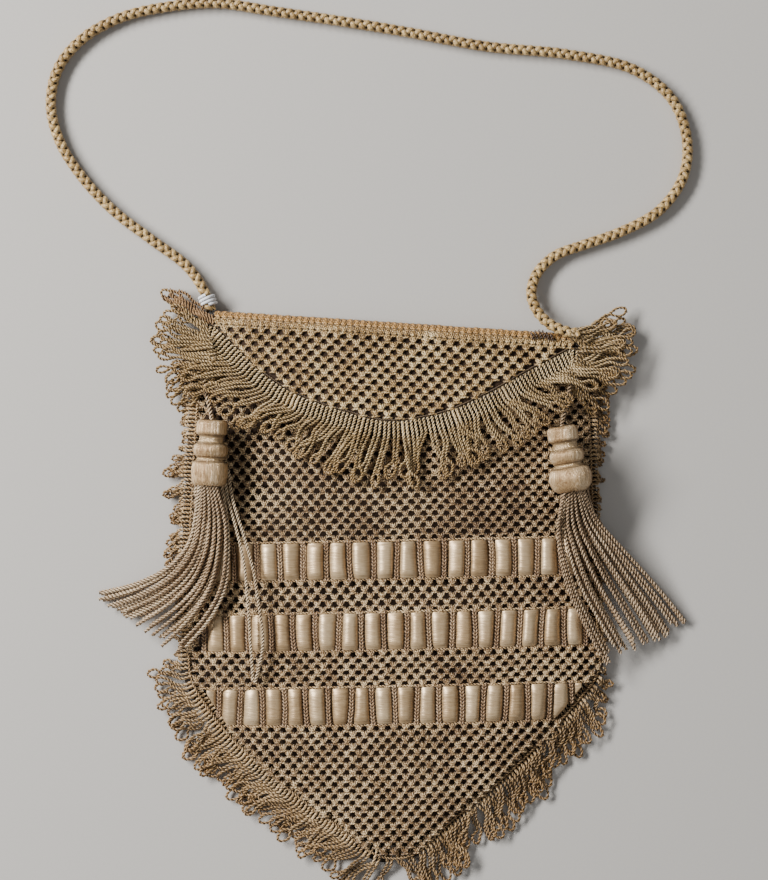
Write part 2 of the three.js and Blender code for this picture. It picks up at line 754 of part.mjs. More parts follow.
// White thread bound round the cord near its left end
function threadBinding() {
  const inner = cordDiameter / 2 + clearance;
  const outer = inner + bindingWall;
  const profile = [];
  const wrapSteps = 2 * bindingWraps;
  for (let step = 0; step <= wrapSteps; step += 1) {
    const radius = step % 2 === 0 ? outer - bindingWall / 2 : outer;
    profile.push(new THREE.Vector2(radius, step / wrapSteps * bindingLength));
  }
  profile.push(new THREE.Vector2(inner, bindingLength));
  profile.push(new THREE.Vector2(inner, 0));
  profile.push(profile[0].clone());
  const curve = cordCurve();
  const start = curve.getPointAt(0);
  const axis = curve.getPointAt(1 / cordSteps).sub(start).normalize();
  return lathed(profile, 12, start.addScaledVector(axis, bindingStart), axis);
}

// The object
const reticule = new THREE.Group();
function addPiece(name, geometry, material) {
  const mesh = new THREE.Mesh(geometry, material);
  mesh.name = name;
  reticule.add(mesh);
}
addPiece('back_panel', backPanel(), crochetMaterial);
addPiece('front_panel', frontPanel(), crochetMaterial);
addPiece('lining_back', liningBack(), liningMaterial);
addPiece('lining_front', liningFront(), liningMaterial);
addPiece('flap', flap(), flapMaterial);
addPiece('flap_fringe', flapFringe(), fringeMaterial);
addPiece('edge_fringe_left', edgeFringe(-1, leftLockCount, leftFringeLie), fringeMaterial);
addPiece('edge_fringe_right', edgeFringe(1, rightLockCount, rightFringeLie), fringeMaterial);
for (const row of ribbonRows) {
  addPiece(row.name, ribbon(row), ribbonMaterial);
}
for (const tassel of tassels) {
  addPiece(`tassel_head_${tassel.name}`, tasselHead(tassel), flossMaterial);
  addPiece(`tassel_skirt_${tassel.name}`, tasselSkirt(tassel), skirtMaterial);
}
addPiece('handle_cord', handleCord(), cordMaterial);
addPiece('thread_binding', threadBinding(), threadMaterial);

export default reticule;
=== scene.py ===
# A crocheted silk reticule lying on its back on a pale floor, seen from straight above.
# Sizes are in millimetres until a mesh is made, with +Z up and the mouth towards +Y.
import math
import random

import bmesh
import bpy
from mathutils import Matrix, Vector, noise


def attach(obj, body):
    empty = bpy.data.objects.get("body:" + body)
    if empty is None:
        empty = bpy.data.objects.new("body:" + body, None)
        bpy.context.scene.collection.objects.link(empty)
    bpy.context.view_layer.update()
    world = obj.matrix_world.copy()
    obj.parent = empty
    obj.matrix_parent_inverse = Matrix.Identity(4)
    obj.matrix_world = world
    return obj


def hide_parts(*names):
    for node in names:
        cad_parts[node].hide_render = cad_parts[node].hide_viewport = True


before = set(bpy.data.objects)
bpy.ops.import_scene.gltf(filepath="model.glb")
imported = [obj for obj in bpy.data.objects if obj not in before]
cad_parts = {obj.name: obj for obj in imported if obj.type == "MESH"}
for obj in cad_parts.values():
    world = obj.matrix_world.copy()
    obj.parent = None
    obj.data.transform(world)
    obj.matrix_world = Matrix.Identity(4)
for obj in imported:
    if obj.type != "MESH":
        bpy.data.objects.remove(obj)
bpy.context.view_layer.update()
mm = 0.001
root = "root"
print("frame loaded")


# Node graphs

class Wire:  # one output socket, used like a number
    def __init__(self, graph, socket):
        self.graph = graph
        self.socket = socket

    def math(self, operation, first, second):
        return self.graph.node("ShaderNodeMath", {"operation": operation}, {0: first, 1: second})

    def other(self, name):
        return Wire(self.graph, self.socket.node.outputs[name])

    def __add__(self, value):
        return self.math("ADD", self, value)

    def __radd__(self, value):
        return self.math("ADD", value, self)

    def __sub__(self, value):
        return self.math("SUBTRACT", self, value)

    def __rsub__(self, value):
        return self.math("SUBTRACT", value, self)

    def __mul__(self, value):
        return self.math("MULTIPLY", self, value)

    def __rmul__(self, value):
        return self.math("MULTIPLY", value, self)

    def __truediv__(self, value):
        return self.math("DIVIDE", self, value)


class Graph:  # a node tree being written
    def __init__(self, tree):
        self.tree = tree

    def node(self, kind, settings=None, inputs=None, output=0):
        made = self.tree.nodes.new(kind)
        for name, value in (settings or {}).items():
            if name == "stops":
                self.setStops(made.color_ramp.elements, value)
            else:
                setattr(made, name, value)
        for key, value in (inputs or {}).items():
            for item in value if isinstance(value, list) else [value]:
                if isinstance(item, Wire):
                    self.tree.links.new(item.socket, made.inputs[key])
                else:
                    made.inputs[key].default_value = item
        return Wire(self, made.outputs[output]) if made.outputs else None

    def setStops(self, elements, stops):
        while len(elements) < len(stops):
            elements.new(1.0)
        for element, (place, colour) in zip(elements, stops):
            element.position = place
            element.color = (*colour, 1.0)

    def attribute(self, name):
        return self.node("ShaderNodeAttribute", {"attribute_name": name}, output="Fac")

    def named(self, name, kind="FLOAT_VECTOR"):
        return self.node("GeometryNodeInputNamedAttribute", {"data_type": kind}, {"Name": name})

    def store(self, geometry, name, value):
        settings = {"data_type": "FLOAT", "domain": "POINT"}
        stored = {"Geometry": geometry, "Name": name, "Value": value}
        return self.node("GeometryNodeStoreNamedAttribute", settings, stored)

    def split(self, vector, output="X"):
        return self.node("ShaderNodeSeparateXYZ", {}, {"Vector": vector}, output=output)

    def place(self):
        return self.node("ShaderNodeTexCoord", output="Object")

    def noise(self, vector, scale, detail=2.0, roughness=0.5):
        return self.node(
            "ShaderNodeTexNoise", {},
            {"Vector": vector, "Scale": scale, "Detail": detail, "Roughness": roughness})

    def stretched(self, vector, scale):
        return self.node("ShaderNodeMapping", {}, {"Vector": vector, "Scale": scale})

    def mix(self, factor, first, second):
        settings = {"data_type": "RGBA"}
        return self.node("ShaderNodeMix", settings, {0: factor, 6: first, 7: second}, output=2)

    def ramp(self, factor, stops):
        return self.node("ShaderNodeValToRGB", {"stops": stops}, {0: factor})

    def bump(self, height, distance, strength=1.0):
        inputs = {"Height": height, "Distance": distance, "Strength": strength}
        return self.node("ShaderNodeBump", {}, inputs)

    def finish(self, **sockets):
        names = {
            "colour": "Base Color", "roughness": "Roughness", "normal": "Normal", "metal": "Metallic",
            "gloss": "Specular IOR Level", "sheen": "Sheen Weight", "sheenRoughness": "Sheen Roughness",
        }
        inputs = {names[key]: value for key, value in sockets.items()}
        shader = self.node("ShaderNodeBsdfPrincipled", {}, inputs)
        self.node("ShaderNodeOutputMaterial", {}, {"Surface": shader})


def newMaterial(name):
    material = bpy.data.materials.new(name)
    material.use_nodes = True
    material.node_tree.nodes.clear()
    return material, Graph(material.node_tree)


# Geometry Nodes trees

def newTree(name, sizes):
    tree = bpy.data.node_groups.new(name, "GeometryNodeTree")
    tree.interface.new_socket("Geometry", in_out="INPUT", socket_type="NodeSocketGeometry")
    for label, value in sizes.items():
        kind = "NodeSocketInt" if isinstance(value, int) else "NodeSocketFloat"
        tree.interface.new_socket(label, in_out="INPUT", socket_type=kind).default_value = value
    tree.interface.new_socket("Material", in_out="INPUT", socket_type="NodeSocketMaterial")
    tree.interface.new_socket("Geometry", in_out="OUTPUT", socket_type="NodeSocketGeometry")
    graph = Graph(tree)
    return graph, graph.node("NodeGroupInput")


def endTree(graph, given, geometry):
    solid = graph.node("GeometryNodeRealizeInstances", {}, {"Geometry": geometry})
    smooth = graph.node("GeometryNodeSetShadeSmooth", {}, {"Geometry": solid})
    painted = {"Geometry": smooth, "Material": given.other("Material")}
    graph.node("NodeGroupOutput", {}, {"Geometry": graph.node("GeometryNodeSetMaterial", {}, painted)})
    return graph.tree


def runTree(name, source, tree, material, sizes):
    # grows the tree on the source mesh and keeps the result as a plain mesh object
    holder = bpy.data.objects.new(name + "_holder", source)
    bpy.context.scene.collection.objects.link(holder)
    modifier = holder.modifiers.new("grow", "NODES")
    modifier.node_group = tree
    values = {"Material": material, **sizes}
    for item in tree.interface.items_tree:
        if item.in_out == "INPUT" and item.name in values:
            modifier[item.identifier] = values[item.name]
    grown = holder.evaluated_get(bpy.context.evaluated_depsgraph_get())
    mesh = bpy.data.meshes.new_from_object(grown)
    holder.modifiers.remove(modifier)
    bpy.data.objects.remove(holder)
    bpy.data.meshes.remove(source)
    return addPiece(name, mesh)


def addPiece(name, mesh):
    mesh.name = name
    piece = bpy.data.objects.new(name, mesh)
    bpy.context.scene.collection.objects.link(piece)
    print("made", name, len(mesh.polygons))
    return piece


def settle(piece, nodes=()):
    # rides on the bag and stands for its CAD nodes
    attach(piece, root)
    if nodes:
        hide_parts(*nodes)
    return piece


def addAttribute(mesh, name, values):
    isVector = isinstance(values[0], Vector)
    attribute = mesh.attributes.new(name, "FLOAT_VECTOR" if isVector else "FLOAT", "POINT")
    if isVector:
        values = [part for value in values for part in value]
    attribute.data.foreach_set("vector" if isVector else "value", values)


def pointMesh(points, **attributes):
    mesh = bpy.data.meshes.new("points")
    mesh.from_pydata([Vector(point) * mm for point in points], [], [])
    for name, values in attributes.items():
        addAttribute(mesh, name, values)
    return mesh


def lineMesh(lines, **attributes):
    # attributes hold one list for each line, or one value for each line
    points = []
    edges = []
    for line in lines:
        start = len(points)
        points.extend(Vector(point) * mm for point in line)
        edges.extend((index, index + 1) for index in range(start, len(points) - 1))
    mesh = bpy.data.meshes.new("lines")
    mesh.from_pydata(points, edges, [])
    for name, values in attributes.items():
        spread = []
        for line, value in zip(lines, values):
            spread.extend(value if isinstance(value, list) else [value] * len(line))
        addAttribute(mesh, name, spread)
    return mesh


def gridMesh(name, rows, columns, placeAt, lifts, material):
    # closed sheet between two grids of points, one at each lift
    points = []
    for lift in lifts:
        for row in range(rows + 1):
            points.extend(Vector(placeAt(row, column, lift)) * mm for column in range(columns + 1))
    layerSize = (rows + 1) * (columns + 1)

    def at(layer, row, column):
        return layer * layerSize + row * (columns + 1) + column

    faces = []
    for row in range(rows):
        for column in range(columns):
            ring = [(row, column), (row + 1, column), (row + 1, column + 1), (row, column + 1)]
            faces.append([at(1, *corner) for corner in ring])
            faces.append([at(0, *corner) for corner in reversed(ring)])
    rim = [(0, column) for column in range(columns, 0, -1)]
    rim += [(row, 0) for row in range(rows)]
    rim += [(rows, column) for column in range(columns)]
    rim += [(row, columns) for row in range(rows, 0, -1)]
    for here, ahead in zip(rim, rim[1:] + rim[:1]):
        faces.append([at(0, *here), at(0, *ahead), at(1, *ahead), at(1, *here)])
    mesh = bpy.data.meshes.new(name)
    mesh.from_pydata(points, [], faces)
    mesh.polygons.foreach_set("use_smooth", [True] * len(mesh.polygons))
    mesh.materials.append(material)
    return addPiece(name, mesh)


def turn(degrees):
    angle = math.radians(degrees)
    return Vector((math.cos(angle), math.sin(angle), 0))


def clamp(value, low=0.0, high=1.0):
    return min(max(value, low), high)


def smoothstep(value, low, high):
    share = clamp((value - low) / (high - low))
    return share * share * (3 - 2 * share)


def lerp(first, second, share):
    return first + (second - first) * share


def between(table, value, column):
    # straight-line value of a table whose first column rises
    row = 0
    while row < len(table) - 2 and table[row + 1][0] < value:
        row += 1
    low, high = table[row], table[row + 1]
    return lerp(low[column], high[column], clamp((value - low[0]) / (high[0] - low[0])))


def smoothLine(points, perSpan=12):
    # centripetal curve through all the points
    points = [Vector(point) for point in points]
    points = [points[0] * 2 - points[1], *points, points[-1] * 2 - points[-2]]
    line = []
    for p0, p1, p2, p3 in zip(points, points[1:], points[2:], points[3:]):
        gap0, gap1, gap2 = (max((b - a).length, 1e-3) ** 0.5 for a, b in ((p0, p1), (p1, p2), (p2, p3)))
        leave = ((p1 - p0) / gap0 - (p2 - p0) / (gap0 + gap1) + (p2 - p1) / gap1) * gap1
        arrive = ((p2 - p1) / gap1 - (p3 - p1) / (gap1 + gap2) + (p3 - p2) / gap2) * gap1
        for step in range(perSpan):
            t = step / perSpan
            line.append(p1 * (2 * t ** 3 - 3 * t ** 2 + 1) + leave * (t ** 3 - 2 * t ** 2 + t)
                        + p2 * (3 * t ** 2 - 2 * t ** 3) + arrive * (t ** 3 - t ** 2))
    line.append(points[-2])
    return line


def evenLine(line, step):
    # the same line with points at even distances
    lengths = [0.0]
    for here, ahead in zip(line, line[1:]):
        lengths.append(lengths[-1] + (ahead - here).length)
    count = max(2, round(lengths[-1] / step))
    even = []
    index = 0
    for number in range(count + 1):
        distance = lengths[-1] * number / count
        while index < len(line) - 2 and lengths[index + 1] < distance:
            index += 1
        span = max(lengths[index + 1] - lengths[index], 1e-9)
        even.append(line[index].lerp(line[index + 1], (distance - lengths[index]) / span))
    return even


def lineLength(line):
    return sum((ahead - here).length for here, ahead in zip(line, line[1:]))


def ringFrames(line):
    # a sideways pair of unit vectors at each point that never twists
    frames = []
    side = Vector((0, 0, 1))
    for index in range(len(line)):
        ahead = (line[min(index + 1, len(line) - 1)] - line[max(index - 1, 0)]).normalized()
        side = (side - ahead * side.dot(ahead)).normalized()
        frames.append((side.copy(), ahead.cross(side)))
    return frames


# The camera, as high above the bag as the photograph was taken from
view = {"height": 950, "tall": 396, "centreX": -4.5, "centreY": 54, "sensor": 36}
cameraData = bpy.data.cameras.new("camera")
cameraData.sensor_width = view["sensor"]
cameraData.lens = view["sensor"] * view["height"] / view["tall"]
cameraData.clip_end = 10
camera = bpy.data.objects.new("camera", cameraData)
camera.location = Vector((view["centreX"], view["centreY"], view["height"])) * mm
bpy.context.scene.collection.objects.link(camera)
bpy.context.scene.camera = camera


# Floor and light
studio = {
    "floorSize": 3.0, "floorColour": (0.50, 0.475, 0.44), "floorRoughness": 0.9,
    "keyPower": 72.0, "keySize": (1.3, 0.35), "keyPlace": (-1.25, 0.6, 0.95),
    "fillPower": 4.0, "fillSize": (1.4, 1.4), "fillPlace": (0.9, -0.6, 1.3),
    "skyColour": (0.95, 0.97, 1.0), "skyStrength": 0.21,
}


def addFloor():
    half = studio["floorSize"] / 2
    mesh = bpy.data.meshes.new("floor")
    corners = [(-half, -half, 0), (half, -half, 0), (half, half, 0), (-half, half, 0)]
    mesh.from_pydata(corners, [], [(0, 1, 2, 3)])
    material, graph = newMaterial("floor paper")
    grain = graph.noise(graph.place(), 900.0, 3.0)
    pale = studio["floorColour"]
    soft = tuple(part * 0.93 for part in pale)
    colour = graph.mix(grain, (*soft, 1), (*pale, 1))
    graph.finish(colour=colour, roughness=studio["floorRoughness"], normal=graph.bump(grain, 0.0001, 0.3))
    mesh.materials.append(material)
    addPiece("floor", mesh)


def addLight(name, power, size, place):
    light = bpy.data.lights.new(name, "AREA")
    light.energy = power
    light.shape = "RECTANGLE"
    light.size, light.size_y = size
    lamp = bpy.data.objects.new(name, light)
    aim = Vector((0, 0.03, 0)) - Vector(place)
    lamp.matrix_world = Matrix.Translation(place) @ aim.to_track_quat("-Z", "Y").to_matrix().to_4x4()
    bpy.context.scene.collection.objects.link(lamp)


addFloor()
addLight("key", studio["keyPower"], studio["keySize"], studio["keyPlace"])
addLight("fill", studio["fillPower"], studio["fillSize"], studio["fillPlace"])
world = bpy.data.worlds.new("sky")
world.use_nodes = True
sky = world.node_tree.nodes["Background"]
sky.inputs["Color"].default_value = (*studio["skyColour"], 1)
sky.inputs["Strength"].default_value = studio["skyStrength"]
bpy.context.scene.world = world
print("camera, floor and light set")


# Silk finishes. A piece's tone runs from 0, dark, to 1, light, tip warms the ends of loops, and the heading
# ribs get a painted highlight that lightens them.
# Cords carry crest, 1 on top of a ply and 0 in the groove, and the finish paints shade into the grooves from
# it. Stitches also carry the run along their thread and the ring around it.
def threadCrest(graph, twistLength=1.35):
    # twist stripes and each stitch's height, for painted shade in the ply grooves and on the low sides of
    # each thread
    run = graph.attribute("run") * (2 * math.pi / (twistLength * mm))
    ringSin, ringCos = graph.attribute("ringSin"), graph.attribute("ringCos")
    sine = graph.node("ShaderNodeMath", {"operation": "SINE"}, {0: run})
    cosine = graph.node("ShaderNodeMath", {"operation": "COSINE"}, {0: run})
    wave = sine * (ringCos * ringCos - ringSin * ringSin) + cosine * (ringSin * ringCos * 2.0)
    return wave * 0.36 + graph.attribute("crest") * 0.60 + 0.08


def braidCrest(graph):
    # three threads side by side in each strand, with painted shade between the threads, on the strand's
    # inner side and where the strand dips under
    lanes = graph.node("ShaderNodeMath", {"operation": "COSINE"}, {0: graph.attribute("lane") * 9.4})
    return graph.attribute("crest") * 0.75 + graph.attribute("rise") * 0.22 + lanes * 0.10 + 0.05


def cordCrest(graph):
    # painted shade towards the cord's core, where the plies meet
    return graph.attribute("crest")


crestOf = {"thread": threadCrest, "braid": braidCrest, "cord": cordCrest, "none": None}
grooves = {  # groove and crest levels, and how deep the relief is
    "thread": (0.12, 0.86, 0.00022), "braid": (0.28, 0.92, 0.0002), "cord": (0.40, 0.95, 0.00012),
}
plainRelief = 0.00012


def silkMaterial(
        name, dark, middle, light, roughness=0.38, warm=None, crest="cord", grooveShade=0.22, sparkle=1.3,
        speckScale=1500.0):
    material, graph = newMaterial(name)
    place = graph.place()
    cloud = graph.noise(place, 55.0, 3.0, 0.6)
    speck = graph.noise(place, speckScale, 2.0, 0.7)
    tone = graph.attribute("tone") * 0.5 + (cloud - 0.5) * 0.6 + (speck - 0.5) * sparkle + 0.27
    # painted highlight: the heading ribs of every fringe are lightened
    tone = tone + graph.attribute("rib") * 0.22
    colour = graph.ramp(tone, [(0.12, dark), (0.5, middle), (0.88, light)])
    if warm:
        colour = graph.mix(graph.attribute("tip"), colour, (*warm, 1))
    height = graph.noise(place, 9000.0, 2.0, 0.6) * 0.4
    distance = plainRelief
    if crestOf[crest]:
        low, high, distance = grooves[crest]
        top = crestOf[crest](graph)
        # painted shade: the colour runs to a darkened copy of the dark tone in the grooves and on the low
        # sides, by the crest
        rise = graph.node("ShaderNodeMapRange", {"interpolation_type": "SMOOTHSTEP"},
                          {"Value": top, "From Min": low, "From Max": high})
        shade = tuple(part * grooveShade for part in dark)
        colour = graph.mix(rise * 0.9 + 0.1, (*shade, 1), colour)
        height = height if crest == "cord" else height + top
    normal = graph.bump(height, distance, 0.9)
    graph.finish(colour=colour, roughness=roughness + (speck - 0.5) * 0.25, normal=normal, sheen=0.1,
                 sheenRoughness=0.4)
    return material


netColours = ((0.14, 0.073, 0.026), (0.435, 0.266, 0.118), (0.93, 0.69, 0.385))
netSilk = silkMaterial("net silk", *netColours, crest="thread", sparkle=2.5, speckScale=950.0)
netCordSilk = silkMaterial("net cord silk", *netColours)
backSilk = silkMaterial(
    "back silk", (0.12, 0.07, 0.03), (0.33, 0.21, 0.10), (0.54, 0.39, 0.22), crest="thread")
barSilk = silkMaterial(
    "bar silk", (0.19, 0.10, 0.045), (0.49, 0.292, 0.145), (0.76, 0.53, 0.31), crest="thread")
flapSilk = silkMaterial("flap silk", (0.18, 0.10, 0.03), (0.56, 0.345, 0.13), (0.96, 0.74, 0.40),
                        warm=(0.50, 0.26, 0.07), crest="thread", sparkle=2.3,
                        speckScale=950.0)
fringeSilk = silkMaterial("fringe silk", (0.16, 0.09, 0.03), (0.405, 0.264, 0.108), (0.84, 0.64, 0.36),
                          warm=(0.36, 0.21, 0.075), grooveShade=0.12)
sideSilk = silkMaterial("side fringe silk", (0.15, 0.083, 0.03), (0.40, 0.25, 0.11), (0.74, 0.53, 0.29),
                        warm=(0.36, 0.20, 0.07), grooveShade=0.18)
skirtSilk = silkMaterial(
    "skirt silk", (0.20, 0.118, 0.055), (0.48, 0.32, 0.18), (0.84, 0.66, 0.43), grooveShade=0.12)
braidSilk = silkMaterial("braid silk", (0.15, 0.078, 0.02), (0.35, 0.212, 0.072), (0.76, 0.54, 0.24),
                         crest="braid", grooveShade=0.14)
tailSilk = silkMaterial(
    "tail silk", (0.10, 0.05, 0.018), (0.26, 0.14, 0.055), (0.44, 0.26, 0.115), roughness=0.7)
whiteCotton = silkMaterial("white cotton", (0.55, 0.55, 0.56), (0.72, 0.72, 0.73), (0.85, 0.85, 0.85),
                           roughness=0.7, crest="none")
stitchSilk = silkMaterial("dark stitch silk", (0.03, 0.016, 0.01), (0.09, 0.05, 0.03), (0.2, 0.12, 0.07))


def liningMaterial():
    material, graph = newMaterial("lining silk")
    place = graph.place()
    cloud = graph.noise(place, 40.0, 3.0)
    warp = graph.noise(graph.stretched(place, (4000.0, 300.0, 300.0)), 1.0, 1.0)
    colour = graph.ramp(cloud, [(0.3, (0.020, 0.011, 0.007)), (0.7, (0.046, 0.026, 0.015))])
    graph.finish(colour=colour, roughness=0.75 + (cloud - 0.5) * 0.2, normal=graph.bump(warp, 0.00005, 0.5),
                 gloss=0.15)
    return material


liningSilk = liningMaterial()


# Twisted cords: strands laid round each other along every line of the source mesh
def cordTree(plies, flat=1.0, free=False):
    sizes = {"Ply radius": 0.0005, "Ply offset": 0.0004, "Twist length": 0.003, "Sides": 4}
    graph, given = newTree("twisted cord", sizes)
    curve = graph.node("GeometryNodeMeshToCurve", {}, {"Mesh": given})
    if free:
        freed = {"Curve": curve, "Normal": graph.named("outward")}
        curve = graph.node("GeometryNodeSetCurveNormal", {"mode": "FREE"}, freed)
    else:
        run = graph.node("GeometryNodeSplineParameter", output="Length")
        start = graph.named("tone", "FLOAT") * 40.0  # so that no two cords twist in step
        tilt = run / given.other("Twist length") * (2 * math.pi) + start
        curve = graph.node("GeometryNodeSetCurveTilt", {}, {"Curve": curve, "Tilt": tilt})
    circle = {"Resolution": given.other("Sides"), "Radius": given.other("Ply radius")}
    ply = graph.node("GeometryNodeCurvePrimitiveCircle", {}, circle)
    ply = graph.node("GeometryNodeTransform", {}, {"Geometry": ply, "Scale": (flat, 1, 1)})
    offset = graph.node("ShaderNodeCombineXYZ", {}, {"X": given.other("Ply offset")})
    rings = []
    for number in range(plies):
        moved = graph.node("GeometryNodeTransform", {}, {"Geometry": ply, "Translation": offset})
        turned = {"Geometry": moved, "Rotation": (0, 0, 2 * math.pi * number / plies)}
        rings.append(graph.node("GeometryNodeTransform", {}, turned))
    section = graph.node("GeometryNodeJoinGeometry", {}, {"Geometry": rings})
    spot = graph.node("GeometryNodeInputPosition")
    # crest is highest on the outside of each ply and falls towards the cord's core; it drives the painted
    # groove shade
    if free:
        out = graph.split(spot)
        crest = out / (given.other("Ply radius") * flat) * 0.55 + 0.45
        section = graph.store(section, "lane", out.other("Y") / given.other("Ply radius"))
    else:
        far = graph.node("ShaderNodeVectorMath", {"operation": "LENGTH"}, {0: spot}, output="Value")
        crest = far / (given.other("Ply radius") + given.other("Ply offset"))
    section = graph.store(section, "crest", crest)
    tube = {"Curve": curve, "Profile Curve": section, "Fill Caps": True}
    return endTree(graph, given, graph.node("GeometryNodeCurveToMesh", {}, tube))


twoPly = cordTree(2)
onePly = cordTree(1)
plaitPly = cordTree(1, flat=0.72, free=True)


def twistedCords(name, lines, material, width, twist, **attributes):
    # width is the whole cord's, in millimetres, and twist the length of one turn, in metres
    sizes = {"Ply radius": width * 0.27 * mm, "Ply offset": width * 0.23 * mm, "Twist length": twist}
    return runTree(name, lineMesh(lines, **attributes), twoPly, material, sizes)


# Handle: a four-strand round plait along the cord's route, from the left corner of the fold to the right
handle = {
    "diameter": 5.4, "strands": 2, "ringRadius": 1.42, "weave": 0.42, "strandRadius": 1.26, "pitch": 7.8,
    "step": 0.68, "sides": 8,
    "route": [
        (-82, 112.3, 4.7), (-85.5, 121.5, 4.2), (-93, 132, 2.9), (-109, 144, 2.7), (-126, 157, 2.7),
        (-140, 172, 2.7), (-150, 188, 2.7), (-154, 204, 2.7), (-151, 220, 2.7), (-141, 233, 2.7),
        (-124, 243, 2.7), (-101, 248.5, 2.7), (-79, 250, 2.7), (-55, 246.5, 2.7), (-18, 241, 2.7),
        (6, 237, 2.7), (42, 230.5, 2.7), (78, 227, 2.7), (108, 220, 2.7), (125, 206.5, 2.7),
        (131.5, 188, 2.7), (129.5, 171.5, 2.7), (119, 157, 2.7), (102, 147.5, 2.7), (85, 141.5, 2.7),
        (72, 136.5, 2.8), (64, 128.5, 3.1), (61.5, 119, 4.3), (64.5, 110.8, 6.6), (69.8, 105.4, 9.2),
        (75.5, 102.6, 11.2), (82, 101, 11.8),
    ],
}
binding = {"start": 2.2, "length": 4.4, "wraps": 3, "perWrap": 24, "thread": 1.5, "radius": 3.2}


def makeHandle():
    route = evenLine(smoothLine(handle["route"]), handle["step"])
    frames = ringFrames(route)
    lines = []
    outward = []
    lifts = []
    tones = []
    chance = random.Random(11)
    for way in (-1, 1):
        for number in range(handle["strands"]):
            line, normals, rises = [], [], []
            for index, (middle, (side, up)) in enumerate(zip(route, frames)):
                along = index * handle["step"]
                turns = 2 * math.pi * along / handle["pitch"]
                angle = way * turns + (number / handle["strands"] + 0.125) * 2 * math.pi
                wave = way * math.cos(handle["strands"] * turns)
                normal = side * math.cos(angle) + up * math.sin(angle)
                line.append(middle + normal * (handle["ringRadius"] + handle["weave"] * wave))
                normals.append(normal)
                rises.append(wave)
            lines.append(line)
            outward.append(normals)
            lifts.append(rises)
            tones.append(chance.uniform(0.35, 0.7))
    # rise and outward drive the braid's painted shade where strands dip under and on their inner sides
    source = lineMesh(lines, outward=outward, tone=tones, rise=lifts)
    sizes = {"Ply radius": handle["strandRadius"] * mm, "Ply offset": 0.0, "Sides": handle["sides"]}
    return runTree("handle_plait", source, plaitPly, braidSilk, sizes), route


def makeBinding(route):
    # thread wound round the plait near its left end
    frames = ringFrames(route)
    first = round(binding["start"] / handle["step"])
    last = round((binding["start"] + binding["length"]) / handle["step"])
    line = []
    steps = binding["perWrap"] * binding["wraps"]
    for number in range(steps + 1):
        share = number / steps
        place = lerp(first, last, share)
        index = int(place)
        middle = route[index].lerp(route[index + 1], place - index)
        side, up = frames[index]
        angle = 2 * math.pi * binding["wraps"] * share
        line.append(middle + (side * math.cos(angle) + up * math.sin(angle)) * binding["radius"])
    sizes = {"Ply radius": binding["thread"] / 2 * mm, "Ply offset": 0.0, "Sides": 8}
    return runTree("binding_thread", lineMesh([line], tone=[0.7]), onePly, whiteCotton, sizes)


plait, handleLine = makeHandle()
wraps = makeBinding(handleLine)
settle(plait, ["handle_cord"])
settle(wraps, ["thread_binding"])
cordPath = [tuple(point * mm) for point in handleLine[::2]]
tuple(handleLine[0] * mm)
lineLength(handleLine) * mm
print("handle made,", round(lineLength(handleLine)), "mm long")


# The bag's form, from the same sizes as the solids
bag = {
    "width": 185, "length": 233.5, "mouthAbove": 101.2, "mouthDrop": 3, "thick": 1.8, "frontEdge": 4.2,
    "swell": 8, "swellPower": 3.5, "gap": 0.3, "rim": 4,
}
outline = [  # drop, left, right, tilt, rise
    (0.00, 0.930, 0.934, -0.065, 0.80), (0.18, 0.965, 0.955, -0.025, 0.92),
    (0.31, 0.985, 0.965, 0.012, 1.00),
    (0.43, 1.000, 0.975, 0.020, 1.00), (0.56, 1.000, 0.990, 0.020, 1.00), (0.64, 0.995, 1.000, 0.020, 0.97),
    (0.67, 0.970, 0.975, 0.020, 0.95), (0.70, 0.925, 0.915, 0.020, 0.92), (0.76, 0.810, 0.780, 0.020, 0.85),
    (0.82, 0.655, 0.628, 0.020, 0.74), (0.88, 0.480, 0.455, 0.020, 0.60), (0.94, 0.280, 0.265, 0.020, 0.42),
    (1.00, 0.075, 0.090, 0.020, 0.00),
]
ribbonRows = [  # name, drop, windows, span, shift
    ("ribbon_upper", 0.430, 16, 0.843, 0.007), ("ribbon_middle", 0.565, 17, 0.869, 0.003),
    ("ribbon_lower", 0.707, 18, 0.905, 0.002),
]


def halfWidth(drop, side):
    return between(outline, drop, 1 if side < 0 else 2) * bag["width"] / 2


def rowY(drop, x):
    return bag["mouthAbove"] - drop * bag["length"] + between(outline, drop, 3) * x


def dropAt(x, y):
    drop = (bag["mouthAbove"] - y) / bag["length"]
    for _ in range(4):
        drop = (bag["mouthAbove"] + between(outline, drop, 3) * x - y) / bag["length"]
    return clamp(drop)


def frontUnder(x, drop):
    across = abs(x) / halfWidth(drop, x)
    return bag["frontEdge"] + bag["swell"] * between(outline, drop, 4) * (1 - across ** bag["swellPower"])


def frontUnderAt(x, y):
    return frontUnder(x, dropAt(x, y))


def frontTopAt(x, y):
    return frontUnderAt(x, y) + bag["thick"]


def mouthLine(x):
    return bag["mouthAbove"] + outline[0][3] * x


def beside(line, distance):
    # a line off to the left of another one
    moved = []
    for index, point in enumerate(line):
        run = line[min(index + 1, len(line) - 1)] - line[max(index - 1, 0)]
        moved.append(point + Vector((-run.y, run.x, 0)).normalized() * distance)
    return moved


